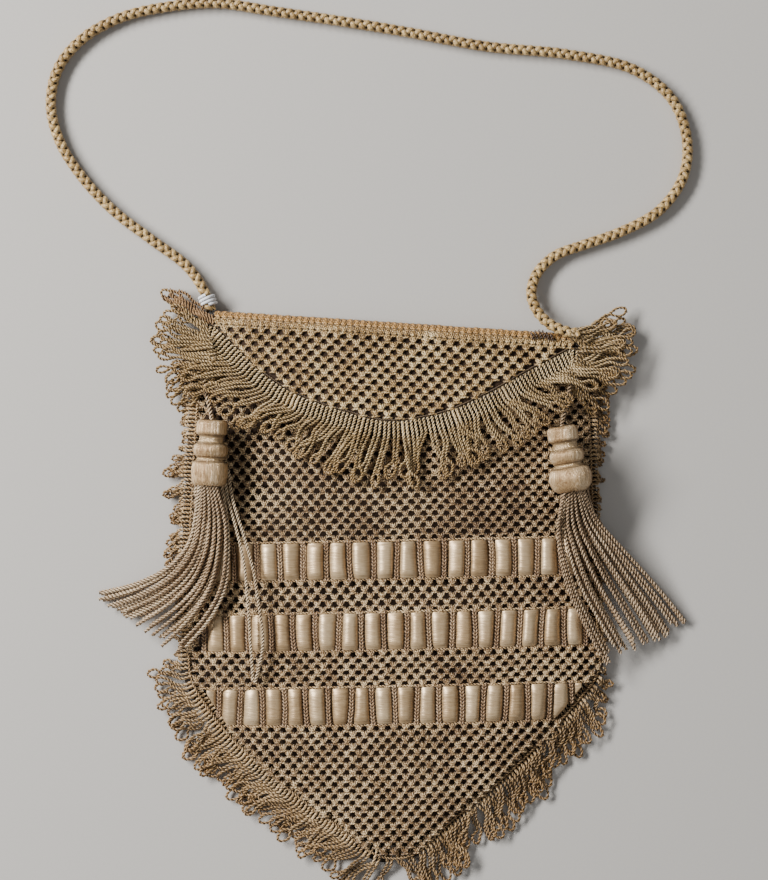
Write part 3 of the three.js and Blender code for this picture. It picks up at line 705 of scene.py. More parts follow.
# Crochet stitches, set on a lattice of points. Each strand is a curve with start, middle and end.
knotStrands = [
    ((-1.62, 1.75, -0.20), (-1.22, 0.10, 0.75), (-0.25, -1.00, 0.05)),
    ((1.62, 1.75, -0.20), (1.22, 0.10, 0.65), (0.25, -1.00, 0.15)),
    ((-0.72, 1.30, -0.05), (-0.12, -0.10, 1.40), (0.58, -1.05, 0.00)),
    ((0.78, 1.24, -0.05), (0.32, 0.00, 0.70), (-0.62, -0.95, 0.20)),
    ((-1.78, -1.72, -0.15), (0.00, -1.15, 1.00), (1.78, -1.72, -0.15)),
]
backKnotStrands = [
    ((-1.50, 1.70, -0.15), (0.00, -2.30, 0.70), (1.50, 1.70, -0.15)),
    ((-1.55, -1.50, -0.10), (0.00, -0.90, 0.60), (1.55, -1.50, -0.10)),
]
barStrands = [
    ((-0.85, 0.95, 0.0), (-0.72, 0.15, 0.60), (0.00, -0.60, 0.15)),
    ((0.85, 0.95, 0.0), (0.72, 0.15, 0.55), (0.00, -0.55, 0.15)),
]


def stitchTree(name, strands, sides, segments):
    graph, given = newTree(name, {"Thread": 0.001, "Turn": 0.1, "Size change": 0.07, "Seed": 1})
    curves = []
    for start, middle, end in strands:
        shape = {"Start": start, "Middle": middle, "End": end}
        shape = {key: tuple(Vector(value) * mm) for key, value in shape.items()}
        shape["Resolution"] = segments
        curves.append(graph.node("GeometryNodeCurveQuadraticBezier", {}, shape))
    together = graph.node("GeometryNodeJoinGeometry", {}, {"Geometry": curves})
    run = graph.node("GeometryNodeSplineParameter", output="Length")
    together = graph.store(together, "run", run)
    radius = given.other("Thread") * 0.5
    section = graph.node("GeometryNodeCurvePrimitiveCircle", {}, {"Resolution": sides, "Radius": radius})
    spot = graph.split(graph.node("GeometryNodeInputPosition"))
    for label, part in (("ringCos", spot), ("ringSin", spot.other("Y"))):
        section = graph.store(section, label, part / radius)
    tube = {"Curve": together, "Profile Curve": section, "Fill Caps": True}
    stitch = graph.node("GeometryNodeCurveToMesh", {}, tube)
    # crest from each stitch's own height, so that the low sides of its threads take painted shade
    high = graph.split(graph.node("GeometryNodeInputPosition"), "Z")
    stitch = graph.store(stitch, "crest", high / mm * 0.9 + 0.1)
    seed = given.other("Seed")
    swing = graph.node(
        "FunctionNodeRandomValue", {"data_type": "FLOAT"},
        {2: 0.0 - given.other("Turn"), 3: given.other("Turn"), 8: seed}, output=1)
    swing = graph.node("ShaderNodeCombineXYZ", {}, {"Z": swing})
    lie = graph.node("ShaderNodeVectorMath", {"operation": "ADD"}, {0: graph.named("lie"), 1: swing})
    size = graph.node(
        "FunctionNodeRandomValue", {"data_type": "FLOAT"},
        {2: 1.0 - given.other("Size change"), 3: 1.0 + given.other("Size change"), 8: seed + 1}, output=1)
    spread = {"Points": given, "Instance": stitch, "Rotation": lie, "Scale": size}
    return endTree(graph, given, graph.node("GeometryNodeInstanceOnPoints", {}, spread))


frontStitch = stitchTree("front stitch", knotStrands, 4, 3)
backStitch = stitchTree("back stitch", backKnotStrands, 3, 2)
barStitch = stitchTree("bar stitch", barStrands, 4, 3)


def stitches(name, places, tree, material, sizes):
    # places hold point, lie and tone
    points, lies, tones = zip(*places)
    return runTree(name, pointMesh(points, lie=list(lies), tone=list(tones)), tree, material, sizes)


net = {"pitch": 5.2, "row": 2.72, "margin": 1.2, "thread": 0.97, "lowerThread": 1.18, "backThread": 1.2,
       "wander": 0.28}


def waver(x, y, scale, seed):
    # slow change between -1 and 1 over the cloth
    return noise.noise(Vector((x * scale, y * scale, seed * 7.3)))


def netPlaces(start, end, heightAt, lie, seed, keep=lambda x, down: True):
    # start and end are distances down from the mouth
    chance = random.Random(seed)
    rows = round((end - start) / net["row"])
    places = []
    for row in range(rows):
        down = start + (row + 0.5) * (end - start) / rows
        columns = int(bag["width"] / net["pitch"]) + 2
        for column in range(-columns, columns + 1):
            x = column * net["pitch"] / 2
            drop = down / bag["length"]
            inside = abs(x) <= halfWidth(drop, x) - net["margin"]
            if (row + column) % 2 or not inside or not keep(x, down):
                continue
            x += waver(x, down, 0.05, seed) * net["wander"] * 2
            y = rowY(drop, x) + waver(x, down, 0.04, seed + 3) * net["wander"] * 3
            tone = clamp(0.5 + waver(x, y, 0.03, 5) * 0.35 + chance.uniform(-0.28, 0.28))
            places.append((Vector((x, y, heightAt(x, y))), lie, tone))
    return places


def rowBand(row):
    # first and last distance down from the mouth of a ribbon row's windows
    middle = row[1] * bag["length"]
    return middle - windows["tall"] / 2, middle + windows["tall"] / 2


windows = {
    "tall": 16.9, "bar": 2.9, "barStitch": 1.5, "barThread": 0.95, "barShown": 2.3, "barOver": 1.2,
    "barLift": 0.25, "netGap": 1.2, "sideGap": 2.5,
}
windowCord = {"width": 1.25, "twist": 0.0031, "step": 0.6, "stride": 2.0, "beyond": 0.15, "lift": 0.2}
sideCord = {"width": 1.2, "twist": 0.003, "step": 0.7, "inset": 0.7, "lift": 0.7}


def windowPitch(row):
    return row[3] * bag["width"] / (row[2] - 1)


def windowCentre(row, index):
    return bag["width"] * row[4] + (index - (row[2] - 1) / 2) * windowPitch(row)


def makeFront():
    frontMiddle = lambda x, y: frontUnderAt(x, y) + bag["thick"] / 2
    bands = [rowBand(row) for row in ribbonRows]
    level = Vector((0, 0, 0))
    tip = bag["length"] - 1.5
    upper = netPlaces(bag["mouthDrop"], bands[0][0], frontMiddle, level, 1)
    lower = netPlaces(bands[0][1], bands[1][0], frontMiddle, level, 2)
    lower += netPlaces(bands[1][1], bands[2][0], frontMiddle, level, 3)
    lower += netPlaces(bands[2][1], tip, frontMiddle, level, 4)
    for number, (row, band) in enumerate(zip(ribbonRows, bands)):
        left = windowCentre(row, -0.5) - windows["bar"] / 2 - windows["netGap"]
        right = windowCentre(row, row[2] - 0.5) + windows["bar"] / 2 + windows["netGap"]
        beyond = lambda x, down: x < left or x > right
        lower += netPlaces(*band, frontMiddle, level, 5 + number, keep=beyond)
    sizes = {"Thread": net["thread"] * mm, "Turn": 0.16, "Size change": 0.08}
    settle(stitches("front_net_upper", upper, frontStitch, netSilk, sizes), ["front_panel"])
    sizes["Thread"] = net["lowerThread"] * mm
    settle(stitches("front_net_lower", lower, frontStitch, netSilk, sizes), ["front_panel"])
    print("front net of", len(upper) + len(lower), "knots")


def bendBars():
    # how far each bar bows and leans
    chance = random.Random(23)
    bends = {}
    for row in ribbonRows:
        for index in range(row[2] + 1):
            bends[row[0], index] = chance.uniform(-0.5, 0.5), chance.uniform(-0.55, 0.55)
    return bends


barBends = bendBars()


def barDrift(row, index, share):
    # sideways drift of a bar at a share of its height, -0.5 at the foot to 0.5 at the top
    bow, lean = barBends[row[0], index]
    return bow * (1 - 4 * share * share) + lean * 2 * share


def makeBars():
    # columns of slanted stitches between the ribbon windows
    chance = random.Random(21)
    places = []
    for row in ribbonRows:
        long = windows["tall"] + windows["barOver"]
        count = round(long / windows["barStitch"])
        for index in range(row[2] + 1):
            x = windowCentre(row, index - 0.5)
            warmth = chance.uniform(0.35, 0.8)
            for number in range(count):
                share = (number + 0.5) / count - 0.5
                place = x + barDrift(row, index, share) + chance.uniform(-0.08, 0.08)
                y = rowY(row[1], place) + share * long
                if abs(place) > halfWidth(dropAt(place, y), place) - windows["sideGap"]:
                    continue
                z = frontUnderAt(place, y) + bag["thick"] / 2 + windows["barLift"]
                tone = clamp(warmth + chance.uniform(-0.2, 0.2))
                places.append((Vector((place, y, z)), Vector((0, 0, 0)), tone))
    sizes = {"Thread": windows["barThread"] * mm, "Turn": 0.12, "Size change": 0.06}
    settle(stitches("window_bars", places, barStitch, barSilk, sizes), ["front_panel"])


def makeWindowCords():
    # the net's last round of thread above and below each row of windows
    lines = []
    for row in ribbonRows:
        for side in (-1, 1):
            line = []
            x = -bag["width"] / 2
            while x <= bag["width"] / 2:
                y = rowY(row[1], x) + side * (windows["tall"] / 2 + windowCord["beyond"])
                if abs(x) < halfWidth(dropAt(x, y), x) - windows["sideGap"]:
                    z = frontUnderAt(x, y) + bag["thick"] / 2 + windowCord["lift"]
                    line.append(Vector((x, y, z)))
                x += windowCord["stride"]
            lines.append(evenLine(smoothLine(line, 4), windowCord["step"]))
    tones = [0.45, 0.55, 0.5, 0.6, 0.5, 0.55]
    width, twist = windowCord["width"], windowCord["twist"]
    cords = twistedCords("window_edges", lines, netCordSilk, width, twist, tone=tones)
    settle(cords, ["front_panel"])


def makeSideEdges():
    # the cord that joins back and front along the sides and the point
    line = []
    for side in (-1, 1):
        rows = [row[0] for row in outline]
        half = [Vector((side * (halfWidth(drop, side) - sideCord["inset"]), 0, 0)) for drop in rows]
        for drop, point in zip(rows, half):
            point.y = rowY(drop, point.x)
            point.z = frontUnderAt(point.x, point.y) + sideCord["lift"]
        line += half if side < 0 else half[::-1]
    line = evenLine(smoothLine(line, 6), sideCord["step"])
    width, twist = sideCord["width"], sideCord["twist"]
    cord = twistedCords("side_edges", [line], netCordSilk, width, twist, tone=[0.45])
    settle(cord, ["front_panel"])


def makeBack():
    facing = Vector((math.pi, 0, 0))
    places = netPlaces(0, bag["length"] - 1.5, lambda x, y: bag["thick"] / 2, facing, 41)
    sizes = {"Thread": net["backThread"] * mm, "Turn": 0.1, "Size change": 0.06}
    settle(stitches("back_net", places, backStitch, backSilk, sizes), ["back_panel"])


makeFront()
makeBars()
makeWindowCords()
makeSideEdges()
makeBack()


# Lining: two sheets of thin silk, black through the holes of the net
lining = {
    "inset": 4.5, "end": 0.975, "backUnder": 2.1, "solidThick": 1.0, "thick": 0.5, "ribbonSpace": 1.55,
    "columns": 30, "rows": 36,
}


def makeLining(name, start, heightAt):
    def placeAt(row, column, lift):
        drop = lerp(start, lining["end"], row / lining["rows"])
        across = column / lining["columns"] * 2 - 1
        x = across * max(halfWidth(drop, across) - lining["inset"], 1.5)
        y = rowY(drop, x)
        return x, y, heightAt(x, y) + lift + waver(x, y, 0.06, 8) * 0.1

    lifts = (0, lining["thick"])
    piece = gridMesh(name, lining["rows"], lining["columns"], placeAt, lifts, liningSilk)
    wide = bag["width"] - 2 * lining["inset"]
    long = (lining["end"] - start) * bag["length"]
    area = 0
    for step in range(100):
        drop = lerp(start, lining["end"], (step + 0.5) / 100)
        area += (halfWidth(drop, -1) + halfWidth(drop, 1) - 2 * lining["inset"]) * long / 100
    return piece, (wide * mm, long * mm), area * mm * mm


def makeLinings():
    topDrop = bag["mouthDrop"] / bag["length"]
    space = lining["ribbonSpace"] + (lining["solidThick"] + lining["thick"]) / 2
    back, flat, area = makeLining("lining_sheet_back", topDrop, lambda x, y: lining["backUnder"] + 0.25)
    settle(back, ["lining_back"])
    under = lambda x, y: frontUnderAt(x, y) - space
    front, flat, area = makeLining("lining_sheet_front", 2 * topDrop, under)
    settle(front, ["lining_front"])


makeLinings()


# Ribbon: a satin strip that runs under the bars and puffs up through each window
ribbon = {"width": 16.2, "low": -0.35, "high": 3.5, "thick": 0.4, "puffColumns": 14, "underColumns": 3,
          "rows": 12, "sidePower": 2.0}


def satinMaterial():
    material, graph = newMaterial("ribbon satin")
    place = graph.place()
    cloud = graph.noise(place, 70.0, 2.0)
    weft = graph.noise(graph.stretched(place, (260.0, 2600.0, 260.0)), 1.0, 2.0)
    tone = graph.attribute("tone") * 0.55 + (cloud - 0.5) * 0.5 + (weft - 0.5) * 0.6 + 0.26
    stops = [(0.05, (0.17, 0.092, 0.038)), (0.42, (0.45, 0.302, 0.158)), (0.85, (0.72, 0.55, 0.335))]
    crease = graph.noise(graph.stretched(place, (90.0, 700.0, 90.0)), 1.0, 2.0)
    normal = graph.bump(weft * 0.5 + crease, 0.0003, 0.5)
    roughness = 0.41 + (weft - 0.5) * 0.2
    graph.finish(colour=graph.ramp(tone, stops), roughness=roughness, normal=normal, metal=0.5)
    return material


satin = satinMaterial()


def ribbonEnds(row, x):
    # lowest and highest edge of the ribbon at x, cut off by the bag's slanting side
    low, high = -ribbon["width"] / 2, ribbon["width"] / 2
    while low < high:
        y = rowY(row[1], x) + low
        if abs(x) < halfWidth(dropAt(x, y), x) - bag["rim"]:
            break
        low += 0.4
    return low, high


def makeRibbon(row, seed):
    chance = random.Random(seed)
    half = (windowPitch(row) - windows["barShown"]) / 2
    stops = []  # x, lift, edge shortening, tone, window, across
    for index in range(row[2]):
        centre = windowCentre(row, index) + chance.uniform(-0.25, 0.25)
        puff = chance.uniform(0.8, 1.08)
        skew = chance.uniform(-0.25, 0.25)
        tone = chance.uniform(0.25, 0.8)
        for column in range(ribbon["puffColumns"] + 1):
            u = -math.cos(math.pi * column / ribbon["puffColumns"])
            arch = max(0.0, 1 - abs(u + skew * (1 - u * u)) ** ribbon["sidePower"]) ** 0.5
            rise = ribbon["low"] + (ribbon["high"] * puff - ribbon["low"]) * arch
            # the tone falls towards the sides of each puff: painted shade where the ribbon dips under the
            # bars
            stops.append((centre + u * half, rise, 0.05 * u ** 4, tone - 0.5 * abs(u) ** 5, index, u))
        gap = windowPitch(row) - 2 * half
        for column in range(1, ribbon["underColumns"]):
            x = centre + half + gap * column / ribbon["underColumns"]
            # under the bars the ribbon takes a low tone: painted shade
            stops.append((x, ribbon["low"], 0.05, -0.4, index, 1.0))
    stops.sort(key=lambda stop: stop[0])
    kept = []
    for stop in stops:
        low, high = ribbonEnds(row, stop[0])
        if high - low > 1.6 and (not kept or stop[0] > kept[-1][0] + 0.02):
            kept.append((*stop, low, high))

    def placeAt(line, column, lift):
        x, rise, shorten, _, window, across, low, high = kept[column]
        v = 1 - 2 * line / ribbon["rows"]
        v = math.sin(v * math.pi / 2)
        offset = lerp(low, high, (1 + v * (1 - shorten)) / 2)
        share = offset / windows["tall"]
        x += lerp(barDrift(row, window, share), barDrift(row, window + 1, share), (across + 1) / 2)
        y = rowY(row[1], x) + offset
        flatten = (1 - 0.45 * smoothstep(abs(v), 0.72, 1.0)) if rise > 0 else 1
        z = frontUnderAt(x, y) + rise * flatten + lift
        z += 0.12 * waver(x * 3, y * 6, 0.2, seed) * (rise > 0)
        return x, y, z

    lifts = (-ribbon["thick"], 0)
    piece = gridMesh(row[0] + "_satin", ribbon["rows"], len(kept) - 1, placeAt, lifts, satin)
    tones = [stop[3] for stop in kept] * (2 * (ribbon["rows"] + 1))
    addAttribute(piece.data, "tone", tones)
    settle(piece, [row[0]])
    middle = [Vector((stop[0], 0, stop[1])) for stop in kept]
    lineLength(middle) * mm


for number, ribbonRow in enumerate(ribbonRows):
    makeRibbon(ribbonRow, 51 + number)


# Flap: the back's crochet folded over the mouth, down to a curved edge
flap = {
    "width": 165, "depth": 41.4, "thick": 1.8, "bulge": 5, "pitch": 5.6, "row": 2.78, "thread": 1.2,
    "foldSteps": 16, "backingSpace": 0.05, "backingThick": 0.3, "backingColumns": 60, "backingRows": 30,
    "backingFoldRows": 10,
}
flapEdge = [  # across, depth
    (0.00, 0.04), (0.08, 0.33), (0.16, 0.61), (0.24, 0.78),
    (0.36, 0.92), (0.48, 1.00), (0.61, 0.90), (0.74, 0.66),
    (0.87, 0.34), (1.00, 0.04),
]
flapEdgeSmooth = smoothLine([Vector((across, depth, 0)) for across, depth in flapEdge], 8)
flapEdgeTable = [(point.x, point.y) for point in flapEdgeSmooth]


def flapEdgeY(x):
    depth = between(flapEdgeTable, x / flap["width"] + 0.5, 1) * flap["depth"]
    return min(mouthLine(x) + flap["bulge"] / 2 - depth, mouthLine(x) - bag["mouthDrop"] / 2)


def flapSection(x, shell):
    # (point, slope) from the hem over the fold and down the front, shell above the flap's underside
    hem = mouthLine(x) + bag["gap"]
    rest = mouthLine(x) - bag["mouthDrop"] - bag["gap"]
    height = (frontTopAt(x, rest) + bag["gap"] + shell) / 2
    section = []
    for step in range(flap["foldSteps"] + 1):
        angle = step / flap["foldSteps"] * math.pi
        bulge = flap["bulge"] - flap["thick"] + shell
        foot = (flap["thick"] - shell) * (1 + math.cos(angle)) / 2
        z = height * (1 - math.cos(angle)) + foot
        section.append((Vector((x, hem + math.sin(angle) * bulge, z)), angle - math.pi))
    y = hem - 1
    while y > flapEdgeY(x) - 8:
        slope = math.atan2(frontTopAt(x, y + 1) - frontTopAt(x, y - 1), 2)
        section.append((Vector((x, y, frontTopAt(x, y) + bag["gap"] + shell)), slope))
        y -= 1
    return section


def makeFlapNet():
    chance = random.Random(61)
    places = []
    columns = int(flap["width"] / flap["pitch"]) + 1
    for column in range(-columns, columns + 1):
        x = column * flap["pitch"] / 2
        if abs(x) > flap["width"] / 2 - 1.5:
            continue
        section = flapSection(x, flap["thick"] / 2)
        fold = flap["foldSteps"]
        distances = [0.0]
        for (here, _), (ahead, _) in zip(section, section[1:]):
            distances.append(distances[-1] + (ahead - here).length)
        start = distances[fold]
        first = -int(start / flap["row"])
        row = first
        while start + row * flap["row"] < distances[-1]:
            distance = start + row * flap["row"]
            index = 0
            while index < len(section) - 2 and distances[index + 1] < distance:
                index += 1
            share = (distance - distances[index]) / max(distances[index + 1] - distances[index], 1e-6)
            point = section[index][0].lerp(section[index + 1][0], share)
            slope = lerp(section[index][1], section[index + 1][1], share)
            upper = fold * 0.45 < index < fold + 2
            if ((row + column) % 2 == 0 or upper) and (index < fold or point.y > flapEdgeY(x) + 1.2):
                point.x += waver(x, row * 2, 0.09, 4) * 0.4
                orange = 0.25 * smoothstep(-row, -1, 3)
                tone = clamp(0.5 + waver(x, point.y, 0.03, 6) * 0.3 + chance.uniform(-0.28, 0.28) - orange)
                places.append((point, Vector((slope, 0, 0)), tone))
            row += 1
    sizes = {"Thread": flap["thread"] * mm, "Turn": 0.12, "Size change": 0.07}
    flapNet = stitches("flap_net", places, flapStitch, flapSilk, sizes)
    places = [vertex.co / mm for vertex in flapNet.data.vertices]
    warmth = [clamp((place.y - mouthLine(place.x) - 0.5) / 3.5) for place in places]
    addAttribute(flapNet.data, "tip", warmth)
    settle(flapNet, ["flap"])


wider = flap["pitch"] / net["pitch"]
flapStrands = [[(x * wider, y * 1.03, z) for x, y, z in strand] for strand in knotStrands]
flapStitch = stitchTree("flap stitch", flapStrands, 4, 3)


def makeFlapBacking():
    columns, rows, foldRows = flap["backingColumns"], flap["backingRows"], flap["backingFoldRows"]

    def placeAt(row, column, shell):
        x = (column / columns - 0.5) * (flap["width"] - 3)
        section = [place for place, _ in flapSection(x, shell)]
        fold = flap["foldSteps"]
        if row <= foldRows:
            return section[round(fold * (0.25 + 0.75 * row / foldRows))]
        hem = section[fold].y
        y = lerp(hem, flapEdgeY(x) + 0.5, (row - foldRows) / (rows - foldRows))
        return x, y, frontTopAt(x, y) + bag["gap"] + shell

    lifts = (flap["backingSpace"], flap["backingSpace"] + flap["backingThick"])
    piece = gridMesh("flap_backing", rows, columns, placeAt, lifts, liningSilk)
    settle(piece, ["flap"])


makeFlapNet()
makeFlapBacking()


# Fringe: loops of twisted cord, sewn side by side to a heading so that it looks ribbed
fringe = {
    "cord": 1.65, "pitch": 3.75, "step": 0.84, "twist": 0.0028, "sideStep": 1.06, "sideTwist": 0.0036,
    "second": 1.3, "crossed": 0.35, "flapLow": 0.35, "flapHigh": 2.6, "flapRib": 0.75,
    "headingInner": 3.2, "headingOuter": 4.7, "bunchTwist": 0.0036, "bunchHeading": 1.5,
    "bunchWild": 2.2, "bunchTone": (0.1, 0.5),
}
headingTape = {"columns": 60, "flapThick": 0.6, "sideLow": 1.95, "sideHigh": 2.3}
flapLoops = {"heading": 6.6, "length": 22, "seed": 71, "wild": 1.2, "extra": 0.15, "tone": (0.3, 0.75),
             "lie": [  # along, aim, reach
    (0.00, 165, 1.30), (0.08, 182, 1.35), (0.16, 194, 1.15),
    (0.28, 214, 0.90), (0.42, 240, 1.00), (0.52, 255, 1.00),
    (0.62, 278, 0.95), (0.74, 306, 0.90), (0.84, 334, 0.95), (0.93, 354, 1.20), (1.00, 378, 1.25),
]}
leftLoops = {"side": -1, "inside": 3, "outside": 3.5, "length": 20, "seed": 72, "wild": 1.35, "extra": 0.85,
             "tone": (0.1, 0.6), "lie": [
    (0.00, 186, 0.25), (0.18, 200, 0.12), (0.22, 196, 0.45),
    (0.28, 214, 0.40), (0.31, 190, 0.20), (0.35, 206, 0.46),
    (0.41, 200, 0.15), (0.53, 200, 0.10), (0.55, 172, 0.75),
    (0.59, 200, 0.75), (0.64, 222, 0.90), (0.70, 208, 0.85),
    (0.80, 193, 0.90), (0.92, 197, 0.95), (0.97, 210, 0.95), (1.00, 232, 0.60),
]}
# the right side's loops take a darker tone range: painted shade for the shadow on that side
rightLoops = {"side": 1, "inside": 3, "outside": 2.0, "length": 20, "seed": 73, "wild": 1.8, "extra": 0.7,
              "tone": (0.0, 0.4), "lie": [
    (0.00, 354, 0.40), (0.12, 340, 0.35), (0.19, 330, 0.12),
    (0.52, 320, 0.06), (0.56, 315, 0.45), (0.60, 290, 0.85),
    (0.85, 284, 0.95), (0.95, 280, 0.90), (1.00, 318, 0.80),
]}
# Extra loops heaped on the flap's corners and at the handle's end, from root to far, fanned over the aims
bunches = [
    {"name": "left", "root": (-83.5, 104.5), "far": (-77, 84), "aims": (140, 226), "reach": (17, 27),
     "count": 20, "spread": 14, "top": 9.5, "seed": 75},
    {"name": "right", "root": (84, 98), "far": (76, 81), "aims": (24, -46), "reach": (17, 27),
     "count": 17, "spread": 14, "top": 9.5, "seed": 76},
    {"name": "end", "root": (77, 101.8), "far": (79, 99.5), "aims": (17, -16), "reach": (19, 29),
     "count": 12, "spread": 5, "top": 12.2, "seed": 77},
]
shadowGapCord = {"width": 0.9, "twist": 0.0026, "step": 0.7, "lift": 1.3, "beside": 0.4}


def loopLine(starts, outward, heading, aim, reach, heightAt, chance, step, wild=1.0, lift=0.0):
    # one loop: out along a rib, round an open eye and back along the next rib
    feet = [start + outward * heading for start in starts]
    middle = (feet[0] + feet[1]) / 2
    way = turn(aim)
    across = Vector((-way.y, way.x, 0))
    if across.dot(starts[0] - starts[1]) < 0:
        across = -across
    crossed = chance.random() < fringe["crossed"]
    eye = min(chance.uniform(1.4, 2.5), max(0.6, reach * 0.2)) * (-1 if crossed else 1)
    layer = chance.uniform(0, 1.3) + lift
    tip = middle + way * reach + across * chance.uniform(-1.5, 1.5) * wild
    bends = [across * chance.uniform(-1.2, 1.2) * wild * min(1, reach / 12) for _ in range(2)]
    eyeMiddle = tip - way * abs(eye) * 1.8
    shoulder = fringe["cord"] * 0.5
    waist = shoulder * (0.25 if crossed else 1.0)
    near = middle.lerp(eyeMiddle, 0.4) + bends[0]
    far = middle.lerp(eyeMiddle, 0.78) + bends[1]
    stations = [
        (starts[0], 0, 0), (starts[0].lerp(feet[0], 0.5), 0, 0), (feet[0], 0, 0.1),
        (near + across * shoulder, 0.4, 0.5 + 0.5 * crossed), (far + across * waist, 0.7, 0.9),
        (eyeMiddle + across * eye, 0.85, 1.0), (tip + across * eye * 0.35, 1, 1.0),
        (tip - across * eye * 0.35, 1, 1.0), (eyeMiddle - across * eye, 0.85, 0.9),
        (far - across * waist, 0.7, 0.6), (near - across * shoulder, 0.4, 0.5 - 0.3 * crossed),
        (feet[1], 0, 0.1), (starts[1].lerp(feet[1], 0.5), 0, 0), (starts[1], 0, 0),
    ]
    points = []
    for place, share, rise in stations:
        z = heightAt(place.x, place.y, share) + layer * min(1, rise * 1.4) + max(0, rise - 0.5) * 0.6
        points.append(Vector((place.x, place.y, z)))
    line = evenLine(smoothLine(points, 10), step)
    warmth, rib = [], []
    for point in line:
        out = (Vector((point.x, point.y, 0)) - middle).dot(way)
        warmth.append(0.7 * smoothstep(out / max(reach, 1), 0.5, 1.0))
        # marks the part of the loop inside the heading, which the finish lightens as a painted highlight
        beyond = (Vector((point.x, point.y, 0)) - middle).dot(outward)
        rib.append(1 - smoothstep(beyond, -0.5, 1.5))
    return line, warmth, rib


def fringeLoops(name, edge, heading, loops, heightAt, flip, nodes, step, material):
    # edge is the line of the ribs' inner ends
    chance = random.Random(loops["seed"])
    long = lineLength(edge)
    count = round(long / fringe["pitch"])
    even = evenLine(edge, long / (4 * count))
    lines, tips, ribLights, tones = [], [], [], []
    for number in range(count):
        starts = [even[number * 4 + 1], even[number * 4 + 3]]
        run = even[min(number * 4 + 4, len(even) - 1)] - even[number * 4]
        outward = Vector((run.y, -run.x, 0)).normalized() * flip
        share = (number + 0.5) / count
        for layer in range(2 if chance.random() < loops["extra"] else 1):
            aim = between(loops["lie"], share, 1) + chance.uniform(-9, 9) * loops["wild"] * (1 + layer)
            reach = between(loops["lie"], share, 2) * loops["length"] * chance.uniform(0.78, 1.08)
            lift = layer * fringe["second"]
            line, warmth, rib = loopLine(
                starts, outward, heading, aim, reach, heightAt, chance, step, loops["wild"], lift)
            lines.append(line)
            tips.append(warmth)
            ribLights.append(rib)
            tones.append(chance.uniform(*loops["tone"]))
    twist = fringe["twist"] if material == fringeSilk else fringe["sideTwist"]
    piece = twistedCords(name, lines, material, fringe["cord"], twist, tone=tones, tip=tips, rib=ribLights)
    print(name, "has", len(lines), "loops")
    return settle(piece, nodes)


def makeBunch(bunch):
    chance = random.Random(bunch["seed"])
    lines, tips, tones = [], [], []
    for number in range(bunch["count"]):
        share = number / (bunch["count"] - 1)
        root = Vector((*bunch["root"], 0)).lerp(Vector((*bunch["far"], 0)), share)
        aim = lerp(*bunch["aims"], share) + chance.uniform(-bunch["spread"], bunch["spread"])
        outward = turn(aim)
        side = Vector((-outward.y, outward.x, 0)) * 0.8
        top = bunch["top"] + chance.uniform(-2.5, 2.5)
        end = chance.uniform(2.5, 7.5)
        reach = chance.uniform(*bunch["reach"])
        heightAt = lambda x, y, share: lerp(top, end, share)
        line, warmth, _ = loopLine(
            [root + side, root - side], outward, fringe["bunchHeading"], aim, reach, heightAt, chance,
            fringe["sideStep"], fringe["bunchWild"])
        lines.append(line)
        tips.append(warmth)
        tones.append(chance.uniform(*fringe["bunchTone"]))
    name = "corner_loops_" + bunch["name"]
    twist = fringe["bunchTwist"]
    piece = twistedCords(name, lines, fringeSilk, fringe["cord"], twist, tone=tones, tip=tips)
    settle(piece, ["flap_fringe"])


def makeFlapFringe():
    edge = []
    steps = 2 * headingTape["columns"]
    for step in range(steps + 1):
        x = (step / steps - 0.5) * flap["width"]
        edge.append(Vector((x, flapEdgeY(x), 0)))
    inner = beside(edge, -bag["gap"])
    edgeHeight = bag["frontEdge"] + bag["thick"]
    half = fringe["cord"] / 2

    def heightAt(x, y, share):
        ground = max(frontTopAt(x, y), edgeHeight - 1.5)
        near = smoothstep(abs(x) / flap["width"], 0.25, 0.42)
        lift = lerp(fringe["flapLow"], fringe["flapHigh"], near) * min(1, share * 3)
        lift += fringe["flapRib"] if share == 0 else 0
        return ground + bag["gap"] + lift + half

    fringeLoops(
        "flap_loops", inner, flapLoops["heading"], flapLoops, heightAt, 1, ["flap_fringe"], fringe["step"],
        fringeSilk)
    outer = beside(edge, -bag["gap"] - flapLoops["heading"])

    def placeAt(row, column, lift):
        place = (inner, outer)[row][column * 2]
        return place.x, place.y, frontTopAt(place.x, place.y) + bag["gap"] + lift

    lifts = (0, headingTape["flapThick"])
    tape = gridMesh("flap_heading_tape", 1, headingTape["columns"], placeAt, lifts, gapShadeSilk)
    settle(tape, ["flap_fringe"])
    # a dark cord beside the flap's edge: painted shade for the shadow gap between the heading and the net
    seam = beside(edge, shadowGapCord["beside"])
    for place in seam:
        place.z = frontTopAt(place.x, place.y) + shadowGapCord["lift"]
    seam = evenLine(seam, shadowGapCord["step"])
    width, twist = shadowGapCord["width"], shadowGapCord["twist"]
    seam = twistedCords("flap_seam", [seam], gapShadeSilk, width, twist, tone=[0.4])
    settle(seam, ["flap_fringe"])


